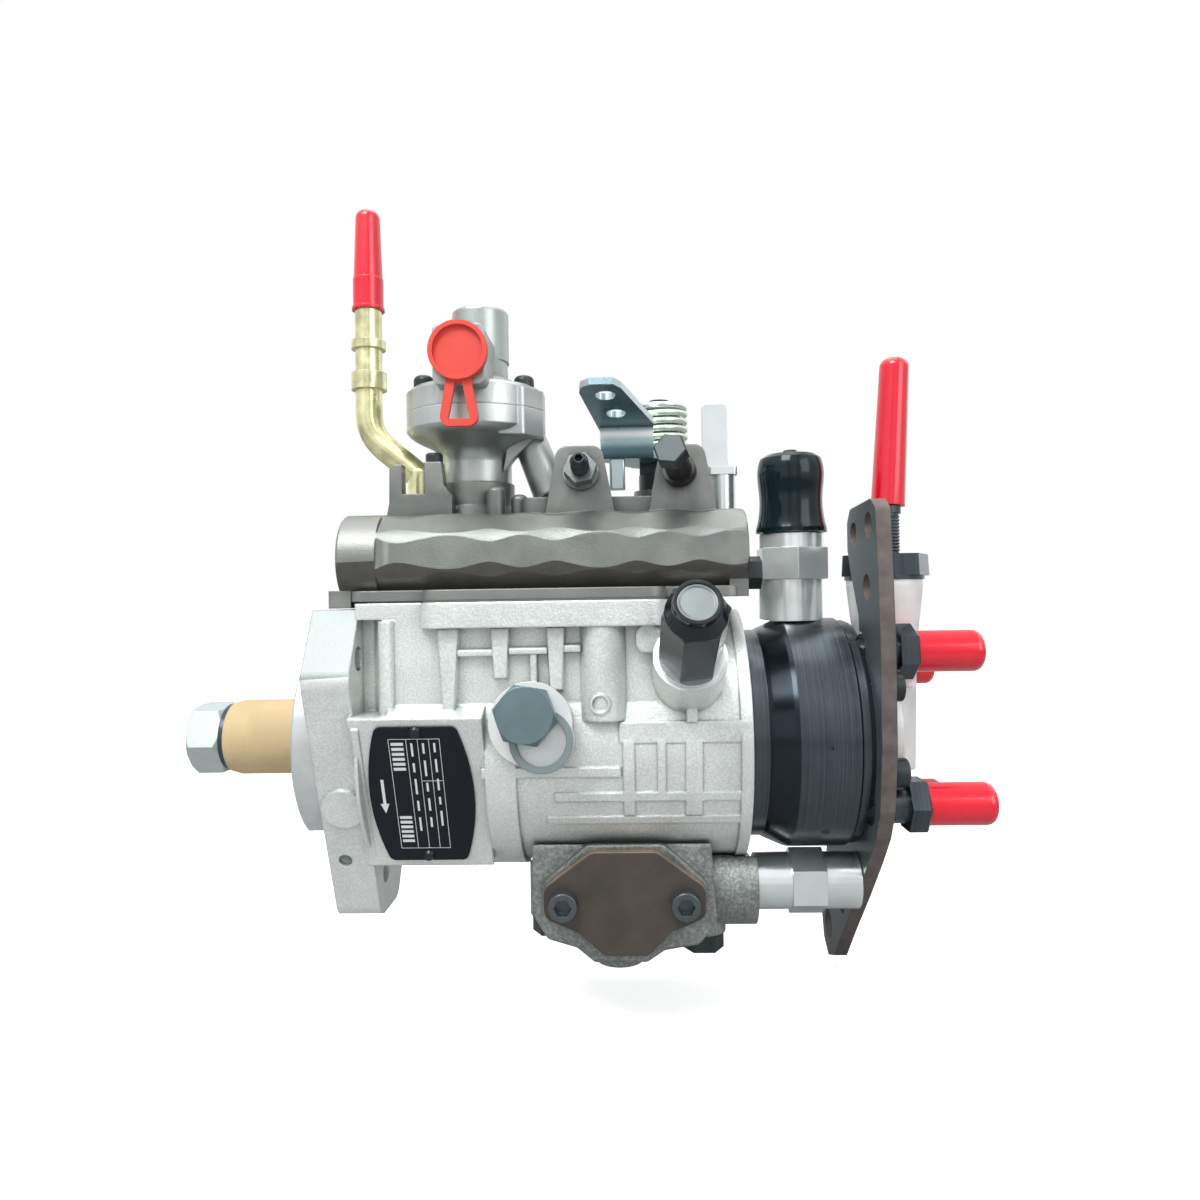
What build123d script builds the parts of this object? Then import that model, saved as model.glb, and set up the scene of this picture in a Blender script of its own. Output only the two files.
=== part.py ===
from build123d import *
import os
from math import cos, sin, tan, radians, degrees, sqrt, atan2

os.makedirs("parts", exist_ok=True)

# ------------------------------------------------------------------ driving sizes (mm)
# X runs along the drive shaft from the nut to the outlets, Y away from the rating plate,
# Z up. The origin is where the shaft axis meets the front face of the mounting flange.
RUN = 0.05                 # radial running fit
GAP = 0.3                  # between curved faces that are only seated

FLANGE_T = 16.0            # mounting flange thickness
PILOT_R = 38.0             # pilot spigot
PILOT_L = 8.3
BOLT_R = 50.0              # mounting bolt circle radius
BOLT_HOLE_R = 4.2
BOLT_START = 141.0         # angle of the first mounting bolt, seen from the head

BARREL_R = 45.0            # outside of the cast barrel
HOUSING_X = 147.5          # rear face of the housing
CHAMBER_R = 35.0           # inside of the barrel
CHAMBER_X = 24.0           # front wall of the chamber
DECK_Z = 50.0              # joint face of housing and governor cover
GASKET_T = 0.6

SHAFT_R = 12.5             # journal of the drive shaft
BUSH_R = 15.0
SEAL_R = 20.0
SHAFT_END_X = -58.5
SLEEVE_R = 14.0
SLEEVE_X = -42.9

CAM_X = 104.5              # middle of the cam ring, cam screw and advance piston
CAM_W = 18.0
PISTON_R = 10.0
PISTON_Z = -57.2

HEAD_R = 42.0
HEAD_SPIGOT_X = 120.0
HEAD_BACK_X = HOUSING_X + 41        # rear face of the hydraulic head
ROTOR_R = 9.0
PLATE_T = 5.0              # bracket plate
PLATE_X = HEAD_BACK_X + PLATE_T
OUTLET_R = HEAD_R - 5.0    # circle of the outlets
OUTLET_TURN = 35.0         # first outlet below the near horizontal
END_PLATE_R = 25.0

COVER_Z = DECK_Z + GASKET_T
RAIL_R = 16.0              # round rail along the near side of the cover
RAIL_Y = -25.0
RAIL_Z = 65.0
BOOST_X = 51.0
RAIL_END_X = HOUSING_X + 0.3
BOOST_Z = 94.0             # seat of the boost body on the cover
BOOST_R = 26.0
THROTTLE_X = 121.0
THROTTLE_Y = 22.0
IDLE_X = 92.5
MAX_X = 127.5
POST_X = HOUSING_X - 2.9
POST_Y = 8.0
INLET_X = HOUSING_X + 21.5
PIPE_X = 10.0
PIPE_R = 5.0
COLUMN_X = HEAD_BACK_X + 16.2
COLUMN_Y = 5.0
FIT_Y = -12.0              # side fitting of the advance housing
FIT_Z = -BARREL_R - 7.5


def ring_point(radius, angle):
    """Point on a circle in the cross plane, angle from +Y towards +Z."""
    return (radius * cos(radians(angle)), radius * sin(radians(angle)))


BOLT_ANGLES = [BOLT_START + 120 * i for i in range(3)]
BOLTS = [ring_point(BOLT_R, a) for a in BOLT_ANGLES]
OUTLET_ANGLES = [180 + OUTLET_TURN - 90 * i for i in range(4)]
OUTLETS = [ring_point(OUTLET_R, a) for a in OUTLET_ANGLES]
PLATE_BOLTS = [ring_point(HEAD_R - 4, 150.0), ring_point(HEAD_R - 4, 194.0), ring_point(HEAD_R - 6, 256.0)]

# ------------------------------------------------------------------ main housing
# flat seat of the rating plate, as a plane facing the viewer and down
SEAT = Plane(origin=(37.2, 5.6 - BARREL_R, -14.5), x_dir=(1, 0, 0), z_dir=(0, -cos(radians(22)), -sin(radians(22))))
LOCK = Plane(origin=(75.0, -BARREL_R - 6, 10.5), x_dir=(1, 0, 0), z_dir=(0, -cos(radians(9)), sin(radians(9))))
LOCK_AT = (-0.9, 2.4)
LOBE_AT = (3.7, -5.6)
RIVET_Y = 24.3
ADV_BOLTS = [(78.5, -62.8), (132.4, -69.2)]      # X and seat height
ADV_BOLT_Y = -14.0
DECK_Y = BARREL_R + 3       # half width of the deck
WALL_Y = BARREL_R - 3       # near and far wall under the deck
EDGE = Plane(origin=(6.8, -28.9, -29.6), x_dir=(1, 0, 0), z_dir=(0, -0.927, -0.375))
TEST = Plane(origin=(126.8, -BARREL_R - 8, 31.5), x_dir=(1, 0, 0), z_dir=(0, -cos(radians(29)), sin(radians(29))))

with BuildPart() as main_housing:
    # three-lug mounting flange
    with BuildSketch(Plane.YZ):
        with BuildLine():
            Polyline((-37, 48), (-51, 25), (-15, -64), (9, -64), (57, 10), (50, 36), (32, 48), close=True)
        make_face()
        fillet([v for v in vertices() if v.Y < 40], 7)
    extrude(amount=FLANGE_T)
    # pilot spigot, cut square along its lower edge
    with BuildSketch(Plane.YZ):
        Circle(PILOT_R)
        with Locations((0, -PILOT_R)):
            Rectangle(2 * PILOT_R, 2 * (PILOT_R - 30.5), mode=Mode.SUBTRACT)
    extrude(amount=-PILOT_L)
    chamfer(edges().filter_by(GeomType.CIRCLE).group_by(Axis.X)[0], 0.8)
    # barrel
    with BuildSketch(Plane.YZ.offset(FLANGE_T)):
        Circle(BARREL_R)
    extrude(amount=HOUSING_X - FLANGE_T)
    # deep front half of the barrel
    with BuildSketch(Plane.YZ.offset(FLANGE_T)):
        with Locations((0, -1.5)):
            Circle(BARREL_R + 0.5)
    extrude(amount=53.5)
    # walls up to the deck
    with BuildSketch(Plane.YZ.offset(FLANGE_T)):
        with Locations((0, DECK_Z / 2)):
            Rectangle(2 * WALL_Y, DECK_Z)
    extrude(amount=HOUSING_X - FLANGE_T - 10)
    # deck flange with rounded ends
    with BuildSketch(Plane.XY.offset(DECK_Z - 8.5)):
        with Locations((79.2, -1)):
            RectangleRounded(81.8, 2 * DECK_Y, 7)
    extrude(amount=8.5)
    # ribs from the deck down the near wall
    for x, top_w, low_w, low in ((47.6, 8.6, 5.0, 13.0), (64.8, 7.6, 5.6, 24.0), (83.2, 7.4, 5.4, 20.0)):
        with BuildSketch(Plane.XZ.offset(WALL_Y - 2)):
            with BuildLine():
                Polyline(
                    (x - top_w / 2, DECK_Z - 8), (x + top_w / 2, DECK_Z - 8), (x + low_w / 2, low),
                    (x - low_w / 2, low), close=True,
                )
            make_face()
        extrude(amount=5.4, taper=9)
    # ledges that close the pockets between the ribs
    for x0, x1, z, w in ((50, 63, 33.2, 3.4), (67, 81, 33.6, 3.4), (85, 92, 34.2, 3.6)):
        with BuildSketch(Plane.XZ.offset(WALL_Y - 2)):
            with Locations(((x0 + x1) / 2, z)):
                Rectangle(x1 - x0, w)
        extrude(amount=5, taper=8)
    with BuildSketch(Plane.XZ.offset(WALL_Y - 2)):
        with Locations((75.7, 28)):
            Rectangle(3.4, 12)
    extrude(amount=4.6, taper=8)
    # half-round boss under the deck, with its ring mark
    with BuildSketch(Plane.XY.offset(10.4)):
        with Locations((98.6, 4 - BARREL_R)):
            Circle(7.5)
    extrude(amount=DECK_Z - 18)
    with BuildSketch(Plane.XZ.offset(BARREL_R + 2.4)):
        with Locations((97.6, 16.2)):
            Circle(3.4)
            Circle(2.5, mode=Mode.SUBTRACT)
    extrude(amount=1.4)
    # small round boss beside the test adaptor
    with BuildSketch(Plane.XZ.offset(WALL_Y - 2)):
        with Locations((113.6, 37)):
            RectangleRounded(8, 9, 3)
    extrude(amount=6)
    # flat seat of the rating plate
    with BuildSketch(SEAT):
        Rectangle(44, 58)
    extrude(amount=-14)
    with BuildSketch(SEAT):
        with Locations((1, 0)):
            Rectangle(42, 70)
    extrude(amount=12, mode=Mode.SUBTRACT)
    # step in front of the seat
    with BuildSketch(Plane.YZ.offset(FLANGE_T)):
        with BuildLine():
            Polyline((-44, 12), (-49.5, 9), (-30, -38), (-20, -38), (-20, 12), close=True)
        make_face()
    extrude(amount=2.5)
    # scoops behind the lugs, free for the mounting nuts
    with BuildSketch(Plane.XY.offset(13)):
        with BuildLine():
            Polyline((FLANGE_T, -60), (FLANGE_T, -33), (20, -33), (22.6, -36), (24, -41), (27.5, -44), (27.5, -60),
                     close=True)
        make_face()
    extrude(amount=31.5, mode=Mode.SUBTRACT)
    with BuildSketch(Plane.YZ.offset(FLANGE_T)):
        with Locations(BOLTS[1], BOLTS[2]):
            Circle(8.5)
    extrude(amount=7, mode=Mode.SUBTRACT)
    # upright ridge at the end of the scoop
    with BuildSketch(Plane.XY.offset(12)):
        with Locations((26.4, -WALL_Y)):
            Circle(2.7)
    extrude(amount=32)
    # round pad and a threaded hole on the sloping near edge of the flange
    with BuildSketch(EDGE):
        with Locations((1.4, 10)):
            Circle(7.7)
    extrude(amount=1.2)
    with BuildSketch(EDGE.offset(2)):
        with Locations((-0.8, -12)):
            Circle(2.4)
    extrude(amount=-11, mode=Mode.SUBTRACT)
    # pear-shaped boss of the locking screw
    with BuildSketch(LOCK):
        Circle(13.6)
        with Locations(LOBE_AT):
            Circle(10.4)
    extrude(amount=-16)
    # boss of the test adaptor
    with BuildSketch(TEST):
        Circle(12)
    extrude(amount=-18)
    with BuildSketch(Plane.XZ.offset(38)):
        with Locations((127.5, 14.5)):
            Rectangle(5, 11)
    extrude(amount=8.5, taper=5)
    # raised block and straps on the barrel
    with BuildSketch(Plane.XZ.offset(BARREL_R - 5)):
        with Locations((125, 6.4)):
            RectangleRounded(44, 8.2, 1.6)
    extrude(amount=5.3, taper=6)
    for x, w, low in ((106.7, 3.8, -22), (117.4, 2.8, -14), (128.1, 5.6, -22)):
        with BuildSketch(Plane.YZ.offset(x - w / 2)):
            Circle(BARREL_R + 0.6)
            with Locations((-BARREL_R, low / 2 + 2)):
                Rectangle(30, 4 - low, mode=Mode.INTERSECT)
        extrude(amount=w)
    for a, x0, x1 in ((8.3, 58, 104), (19.5, 82, 146), (31.5, 79, 146)):
        y, z = ring_point(BARREL_R - 2.0, 180 + a)
        with BuildSketch(Plane.YZ.offset(x0)):
            with Locations((y, z)):
                Rectangle(5.2, 3.4, rotation=a)
        extrude(amount=x1 - x0)
    # rear collar
    with BuildSketch(Plane.YZ.offset(HOUSING_X - 4)):
        Circle(BARREL_R + 0.8)
    extrude(amount=4)
    # deep clean-up of the inside: chamber, control well, front bores
    with BuildSketch(Plane.YZ.offset(CHAMBER_X)):
        Circle(CHAMBER_R)
    extrude(amount=HOUSING_X - CHAMBER_X, mode=Mode.SUBTRACT)
    with BuildSketch(Plane.XY.offset(20)):
        with Locations((78, 0)):
            RectangleRounded(92, 46, 6)
    extrude(amount=DECK_Z - 20, mode=Mode.SUBTRACT)
    with BuildSketch(Plane.YZ.offset(-PILOT_L)):
        Circle(BUSH_R + 0.01)
    extrude(amount=CHAMBER_X + PILOT_L, mode=Mode.SUBTRACT)
    with BuildSketch(Plane.YZ.offset(-PILOT_L)):
        Circle(SEAL_R)
    extrude(amount=PILOT_L + 2, mode=Mode.SUBTRACT)
    # threads of the two bolts that carry the advance unit
    with BuildSketch(Plane.XY.offset(-36.5)):
        with Locations(*[(x, ADV_BOLT_Y) for x, z in ADV_BOLTS]):
            Circle(4)
    extrude(amount=-20, mode=Mode.SUBTRACT)
    # slot for the cam screw
    with BuildSketch(Plane.XY.offset(-50)):
        with Locations((CAM_X, 0)):
            SlotOverall(22, 12, rotation=90)
    extrude(amount=22, mode=Mode.SUBTRACT)
    # threaded holes: locking screw, test adaptor, side hole of the flange edge
    with BuildSketch(LOCK):
        with Locations(LOCK_AT):
            Circle(4.02)
    extrude(amount=-22, mode=Mode.SUBTRACT)
    with BuildSketch(SEAT):
        with Locations((0, RIVET_Y), (0, -RIVET_Y)):
            Circle(1.22)
    extrude(amount=-5, mode=Mode.SUBTRACT)
    with BuildSketch(TEST):
        Circle(6.2)
    extrude(amount=-30, mode=Mode.SUBTRACT)
    # mounting holes
    with BuildSketch(Plane.YZ):
        with Locations(*BOLTS):
            Circle(BOLT_HOLE_R)
    extrude(amount=FLANGE_T + 8, mode=Mode.SUBTRACT)
    # face machined off in front, over the lugs
    with BuildSketch(Plane.XZ.offset(-60)):
        with Locations((-4.9, 0)):
            Rectangle(9.8, 200)
        with Locations((-4.9, 0)):
            Rectangle(9.8, 2 * PILOT_R + 2, mode=Mode.SUBTRACT)
    extrude(amount=130, mode=Mode.SUBTRACT)
main_housing.part.label = "main_housing"
export_step(main_housing.part, "parts/main_housing.step")

# ------------------------------------------------------------------ shaft group
with BuildPart() as front_bush:
    with BuildSketch(Plane.YZ.offset(2.3)):
        Circle(BUSH_R)
        Circle(SHAFT_R + RUN, mode=Mode.SUBTRACT)
    extrude(amount=CHAMBER_X - 2.3)
front_bush.part.label = "front_bush"
export_step(front_bush.part, "parts/front_bush.step")

with BuildPart() as shaft_oil_seal:
    with BuildSketch(Plane.YZ.offset(-5)):
        Circle(SEAL_R - 0.05)
        Circle(SHAFT_R + 0.1, mode=Mode.SUBTRACT)
    extrude(amount=6.8)
    with BuildSketch(Plane.YZ.offset(-5)):
        Circle(SEAL_R - 2.5)
        Circle(SHAFT_R + 2, mode=Mode.SUBTRACT)
    extrude(amount=3, mode=Mode.SUBTRACT)
shaft_oil_seal.part.label = "shaft_oil_seal"
export_step(shaft_oil_seal.part, "parts/shaft_oil_seal.step")

TAPER_X = -40.0
with BuildPart() as drive_shaft:
    with BuildSketch(Plane.XZ):
        with BuildLine():
            Polyline(
                (SHAFT_END_X, 0), (SHAFT_END_X, 6.2), (SHAFT_END_X + 0.8, 7), (TAPER_X, 7), (TAPER_X, 9.8),
                (-12, 12.2), (-9, SHAFT_R), (CHAMBER_X + 4, SHAFT_R), (CHAMBER_X + 4, 11), (56.8, 11),
                (56.8, 9), (84, 9), (84, 14), (92, 14), (92, 0), close=True,
            )
        make_face()
    revolve(axis=Axis.X)
    # keyway in the taper
    with BuildSketch(Plane.XY.offset(8.2)):
        with Locations((-26, 0)):
            SlotOverall(14, 4.02)
    extrude(amount=6, mode=Mode.SUBTRACT)
    # drive slot for the rotor tongue
    with BuildSketch(Plane.YZ.offset(86)):
        Rectangle(40, 6.1)
    extrude(amount=8, mode=Mode.SUBTRACT)
drive_shaft.part.label = "drive_shaft"
export_step(drive_shaft.part, "parts/drive_shaft.step")

with BuildPart() as shaft_washer:
    with BuildSketch(Plane.YZ.offset(-44.7)):
        Circle(12.6)
        Circle(7.2, mode=Mode.SUBTRACT)
    extrude(amount=1.7)
shaft_washer.part.label = "shaft_washer"
export_step(shaft_washer.part, "parts/shaft_washer.step")

with BuildPart() as shaft_nut:
    with BuildSketch(Plane.YZ.offset(-56.7)):
        RegularPolygon(12, 6, major_radius=False, rotation=8)
        Circle(7.02, mode=Mode.SUBTRACT)
    extrude(amount=12)
    with BuildSketch(Plane.XZ):
        with BuildLine():
            Polyline(
                (-57, 0), (-57, 12), (-54.9, 14.2), (-46.6, 14.2), (-44.7, 12.2), (-44.7, 0), close=True
            )
        make_face()
    revolve(axis=Axis.X, mode=Mode.INTERSECT)
shaft_nut.part.label = "shaft_nut"
export_step(shaft_nut.part, "parts/shaft_nut.step")

with BuildPart() as shaft_sleeve:
    with BuildSketch(Plane.XZ):
        with BuildLine():
            Polyline(
                (SLEEVE_X, 12.9), (SLEEVE_X, 13.0), (SLEEVE_X + 3.5, SLEEVE_R), (-5.6, SLEEVE_R), (-5.6, 12.9),
                close=True,
            )
        make_face()
    revolve(axis=Axis.X)
shaft_sleeve.part.label = "shaft_sleeve"
export_step(shaft_sleeve.part, "parts/shaft_sleeve.step")

# governor: cage, four weights and the thrust sleeve they push
CAGE_X = 31.0
with BuildPart() as governor_cage:
    with BuildSketch(Plane.YZ.offset(CAGE_X)):
        Circle(31)
        Circle(11.02, mode=Mode.SUBTRACT)
    extrude(amount=30)
    with BuildSketch(Plane.YZ.offset(CAGE_X + 3)):
        Circle(29)
        Circle(13.5, mode=Mode.SUBTRACT)
    extrude(amount=28, mode=Mode.SUBTRACT)
    with BuildSketch(Plane.YZ.offset(CAGE_X + 19)):
        Circle(20)
    extrude(amount=12, mode=Mode.SUBTRACT)
    with BuildSketch(Plane.YZ.offset(CAGE_X + 3)):
        with PolarLocations(29, 4, start_angle=45):
            Rectangle(14, 20)
    extrude(amount=24, mode=Mode.SUBTRACT)
governor_cage.part.label = "governor_cage"
export_step(governor_cage.part, "parts/governor_cage.step")

with BuildPart() as governor_weights:
    with BuildSketch(Plane.YZ.offset(CAGE_X + 3.2)):
        with PolarLocations(23.5, 4, start_angle=45):
            Rectangle(11, 19.4)
    extrude(amount=23)
    with BuildSketch(Plane.YZ.offset(CAGE_X + 20)):
        with PolarLocations(16.5, 4, start_angle=45):
            Rectangle(5, 8)
    extrude(amount=6)
governor_weights.part.label = "governor_weights"
export_step(governor_weights.part, "parts/governor_weights.step")

SLEEVE_SLIDE_X = 57.4
with BuildPart() as thrust_sleeve:
    with BuildSketch(Plane.YZ.offset(SLEEVE_SLIDE_X)):
        Circle(17)
        Circle(9 + RUN, mode=Mode.SUBTRACT)
    extrude(amount=4)
    with BuildSketch(Plane.YZ.offset(SLEEVE_SLIDE_X + 4)):
        Circle(12)
        Circle(9 + RUN, mode=Mode.SUBTRACT)
    extrude(amount=9)
thrust_sleeve.part.label = "thrust_sleeve"
export_step(thrust_sleeve.part, "parts/thrust_sleeve.step")

# ------------------------------------------------------------------ pumping group
with BuildPart() as cam_ring:
    with BuildSketch(Plane.YZ.offset(CAM_X - CAM_W / 2)):
        Circle(CHAMBER_R - RUN)
        Circle(26, mode=Mode.SUBTRACT)
    extrude(amount=CAM_W)
    # four inward lobes
    with BuildSketch(Plane.YZ.offset(CAM_X - CAM_W / 2)):
        with PolarLocations(32, 4):
            Circle(8.2)
        Circle(CHAMBER_R - RUN, mode=Mode.INTERSECT)
    extrude(amount=CAM_W)
    # ball-ended cam screw into the advance piston
    with BuildSketch(Plane.XY.offset(PISTON_Z)):
        with Locations((CAM_X, 0)):
            Circle(3.9)
    extrude(amount=3.7)
    with BuildSketch(Plane.XY.offset(PISTON_Z + 3)):
        with Locations((CAM_X, 0)):
            Circle(3.3)
    extrude(amount=-PISTON_Z - 33)
cam_ring.part.label = "cam_ring"
export_step(cam_ring.part, "parts/cam_ring.step")

with BuildPart() as pump_rotor:
    with BuildSketch(Plane.YZ.offset(CAM_X - 8)):
        Circle(15)
    extrude(amount=16)
    with BuildSketch(Plane.YZ.offset(CAM_X + 8)):
        Circle(ROTOR_R)
    extrude(amount=HEAD_BACK_X - CAM_X - 8)
    with BuildSketch(Plane.YZ.offset(86.5)):
        Rectangle(24, 5.9)
    extrude(amount=CAM_X - 8 - 86.5)
    # plunger bore
    with BuildSketch(Plane.XY.offset(-16)):
        with Locations((CAM_X, 0)):
            Circle(3.5)
    extrude(amount=32, mode=Mode.SUBTRACT)
    # tongue for the transfer rotor
    with BuildSketch(Plane.YZ.offset(HEAD_BACK_X)):
        Rectangle(12, 4)
    extrude(amount=3)
pump_rotor.part.label = "pump_rotor"
export_step(pump_rotor.part, "parts/pump_rotor.step")

with BuildPart() as plungers:
    for side in (-1, 1):
        with BuildSketch(Plane.XY.offset(1.5 if side > 0 else -15.5)):
            with Locations((CAM_X, 0)):
                Circle(3.48)
        extrude(amount=14)
plungers.part.label = "plungers"
export_step(plungers.part, "parts/plungers.step")

with BuildPart() as roller_shoes:
    for side in (-1, 1):
        with BuildSketch(Plane.YZ.offset(CAM_X - 7)):
            with Locations((0, side * 18)):
                Rectangle(11, 4.6)
            with Locations((0, side * 19.9)):
                Circle(3.6)
        extrude(amount=14)
roller_shoes.part.label = "roller_shoes"
export_step(roller_shoes.part, "parts/roller_shoes.step")

NECK_R = HEAD_R - 4
OUTLET_THREAD_R = 4.2
INLET_HEX_Z = HEAD_R + 14.6
with BuildPart() as hydraulic_head:
    with BuildSketch(Plane.XZ):
        with BuildLine():
            Polyline(
                (HEAD_SPIGOT_X, 0), (HEAD_SPIGOT_X, 24), (128, 24), (128, CHAMBER_R - 0.02),
                (HOUSING_X + 0.2, CHAMBER_R - 0.02), (HOUSING_X + 0.2, NECK_R), (HOUSING_X + 6.5, NECK_R),
                (HOUSING_X + 8, NECK_R + 0.8), (HOUSING_X + 14.5, HEAD_R - 0.4),
                (HOUSING_X + 16, HEAD_R), (HEAD_BACK_X - 5, HEAD_R), (HEAD_BACK_X - 4.2, HEAD_R - 0.9),
                (HEAD_BACK_X - 1.6, HEAD_R - 0.9), (HEAD_BACK_X, HEAD_R - 1.6), (HEAD_BACK_X, 0), close=True,
            )
        make_face()
    revolve(axis=Axis.X)
    # plugged drillings round the near side
    for a in (96, 180, 262):
        y, z = ring_point(1, a)
        with BuildSketch(Plane(origin=(HEAD_BACK_X - 15, y * HEAD_R, z * HEAD_R), x_dir=(1, 0, 0), z_dir=(0, y, z))):
            Circle(1.5 if a != 180 else 0.8)
        extrude(amount=-4 if a != 180 else -1, mode=Mode.SUBTRACT)
    # inlet thread
    with BuildSketch(Plane.XY.offset(HEAD_R + 1)):
        with Locations((INLET_X - 0.6, 0)):
            Circle(7.22)
    extrude(amount=-16.2, mode=Mode.SUBTRACT)
    # rotor bore and transfer pump recess
    with BuildSketch(Plane.YZ.offset(HEAD_SPIGOT_X)):
        Circle(ROTOR_R + RUN)
    extrude(amount=HEAD_BACK_X - HEAD_SPIGOT_X, mode=Mode.SUBTRACT)
    # outlet threads and bolt threads in the rear face
    with BuildSketch(Plane.YZ.offset(HEAD_BACK_X)):
        with Locations(*OUTLETS):
            Circle(OUTLET_THREAD_R + 0.02)
    extrude(amount=-13, mode=Mode.SUBTRACT)
    with BuildSketch(Plane.YZ.offset(HEAD_BACK_X)):
        with Locations(*PLATE_BOLTS):
            Circle(2.52)
    extrude(amount=-11, mode=Mode.SUBTRACT)
    with BuildSketch(Plane.YZ.offset(HEAD_BACK_X)):
        with PolarLocations(19.5, 4, start_angle=10):
            Circle(2.02)
    extrude(amount=-10, mode=Mode.SUBTRACT)
    # drillings from the barrel to the outlets
    for a in OUTLET_ANGLES:
        y, z = ring_point(1, a)
        with BuildSketch(Plane(origin=(HEAD_BACK_X - 11, y * (ROTOR_R - 1), z * (ROTOR_R - 1)), z_dir=(0, y, z))):
            Circle(1.2)
        extrude(amount=OUTLET_R - ROTOR_R, mode=Mode.SUBTRACT)
hydraulic_head.part.label = "hydraulic_head"
export_step(hydraulic_head.part, "parts/hydraulic_head.step")

# transfer pump in its eccentric bore in the end plate
LINER_T = 7.0
with BuildPart() as transfer_rotor:
    with BuildSketch(Plane.YZ.offset(HEAD_BACK_X + 0.05)):
        Circle(11.7)
        Rectangle(12.1, 4.1, mode=Mode.SUBTRACT)
    extrude(amount=LINER_T - 0.1)
transfer_rotor.part.label = "transfer_rotor"
export_step(transfer_rotor.part, "parts/transfer_rotor.step")

with BuildPart() as end_plate:
    with BuildSketch(Plane.YZ.offset(HEAD_BACK_X)):
        Circle(END_PLATE_R - 1.5)
    extrude(amount=14.5)
    # solenoid column, a cone standing across the plate
    with BuildSketch(Plane.XZ.offset(-COLUMN_Y)):
        with BuildLine():
            Polyline(
                (COLUMN_X, -15), (COLUMN_X + 10.4, -15), (COLUMN_X + 11.4, 30), (COLUMN_X + 14, 54),
                (COLUMN_X + 14, 56), (COLUMN_X, 56), close=True,
            )
        make_face()
    revolve(axis=Axis((COLUMN_X, COLUMN_Y, 0), (0, 0, 1)))
    with BuildSketch(Plane.XY.offset(-15)):
        with Locations((HEAD_BACK_X + 10, COLUMN_Y)):
            Rectangle(11, 16)
    extrude(amount=42)
    # eccentric bore of the transfer pump, then clear of the head
    with BuildSketch(Plane.YZ.offset(HEAD_BACK_X)):
        with Locations((0.8, 0)):
            Circle(12.6)
    extrude(amount=LINER_T, mode=Mode.SUBTRACT)
    with BuildSketch(Plane.XY.offset(60)):
        with Locations((HEAD_BACK_X - 10, 0)):
            Rectangle(20, 120)
    extrude(amount=-90, mode=Mode.SUBTRACT)
    # solenoid seat bore and screw holes
    with BuildSketch(Plane.XY.offset(56)):
        with Locations((COLUMN_X, COLUMN_Y)):
            Circle(8)
    extrude(amount=-22, mode=Mode.SUBTRACT)
    with BuildSketch(Plane.XY.offset(34)):
        with Locations((COLUMN_X, COLUMN_Y)):
            Circle(3.5)
    extrude(amount=-20, mode=Mode.SUBTRACT)
    with BuildSketch(Plane.YZ.offset(HEAD_BACK_X)):
        with PolarLocations(19.5, 4, start_angle=10):
            Circle(2.2)
    extrude(amount=9, mode=Mode.SUBTRACT)
    with BuildSketch(Plane.YZ.offset(HEAD_BACK_X + 9)):
        with PolarLocations(19.5, 4, start_angle=10):
            Circle(3.7)
    extrude(amount=26, mode=Mode.SUBTRACT)
end_plate.part.label = "end_plate"
export_step(end_plate.part, "parts/end_plate.step")

with BuildPart() as end_plate_screws:
    with BuildSketch(Plane.YZ.offset(HEAD_BACK_X + 9)):
        with PolarLocations(19.5, 4, start_angle=10):
            Circle(3.5)
    extrude(amount=4)
    with BuildSketch(Plane.YZ.offset(HEAD_BACK_X + 9)):
        with PolarLocations(19.5, 4, start_angle=10):
            Circle(2)
    extrude(amount=-18)
    with BuildSketch(Plane.YZ.offset(HEAD_BACK_X + 13)):
        with PolarLocations(19.5, 4, start_angle=10):
            RegularPolygon(1.5, 6, major_radius=False)
    extrude(amount=-2.2, mode=Mode.SUBTRACT)
end_plate_screws.part.label = "end_plate_screws"
export_step(end_plate_screws.part, "parts/end_plate_screws.step")

# ------------------------------------------------------------------ outlets and bracket plate
with BuildPart() as outlet_holders:
    with BuildSketch(Plane.YZ.offset(HEAD_BACK_X - 10)):
        with Locations(*OUTLETS):
            Circle(OUTLET_THREAD_R)
    extrude(amount=10)
    with BuildSketch(Plane.YZ.offset(HEAD_BACK_X)):
        with Locations(*OUTLETS):
            Circle(6.4)
    extrude(amount=12.5)
    with BuildSketch(Plane.YZ.offset(HEAD_BACK_X + 12)):
        for (y, z), turn in zip(OUTLETS, (0, 24, 0, 10)):
            with Locations((y, z)):
                RegularPolygon(8.5, 6, major_radius=False, rotation=turn)
    extrude(amount=6.5)
    chamfer(edges().group_by(Axis.X)[-1], 0.6)
    with BuildSketch(Plane.YZ.offset(HEAD_BACK_X + 18.5)):
        with Locations(*OUTLETS):
            Circle(6)
    extrude(amount=15)
    with BuildSketch(Plane.YZ.offset(HEAD_BACK_X + 33.5)):
        with Locations(*OUTLETS):
            Circle(1.6)
    extrude(amount=-43.5, mode=Mode.SUBTRACT)
outlet_holders.part.label = "outlet_holders"
export_step(outlet_holders.part, "parts/outlet_holders.step")

CAP_X = HEAD_BACK_X + 18.6
with BuildPart() as outlet_caps:
    with BuildSketch(Plane.YZ.offset(CAP_X)):
        with Locations(*OUTLETS):
            Circle(7.25)
    extrude(amount=23.4)
    fillet(edges().group_by(Axis.X)[-1], 3.2)
    with BuildSketch(Plane.YZ.offset(CAP_X)):
        with Locations(*OUTLETS):
            Circle(6.02)
    extrude(amount=15.4, mode=Mode.SUBTRACT)
outlet_caps.part.label = "outlet_caps"
export_step(outlet_caps.part, "parts/outlet_caps.step")

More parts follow.
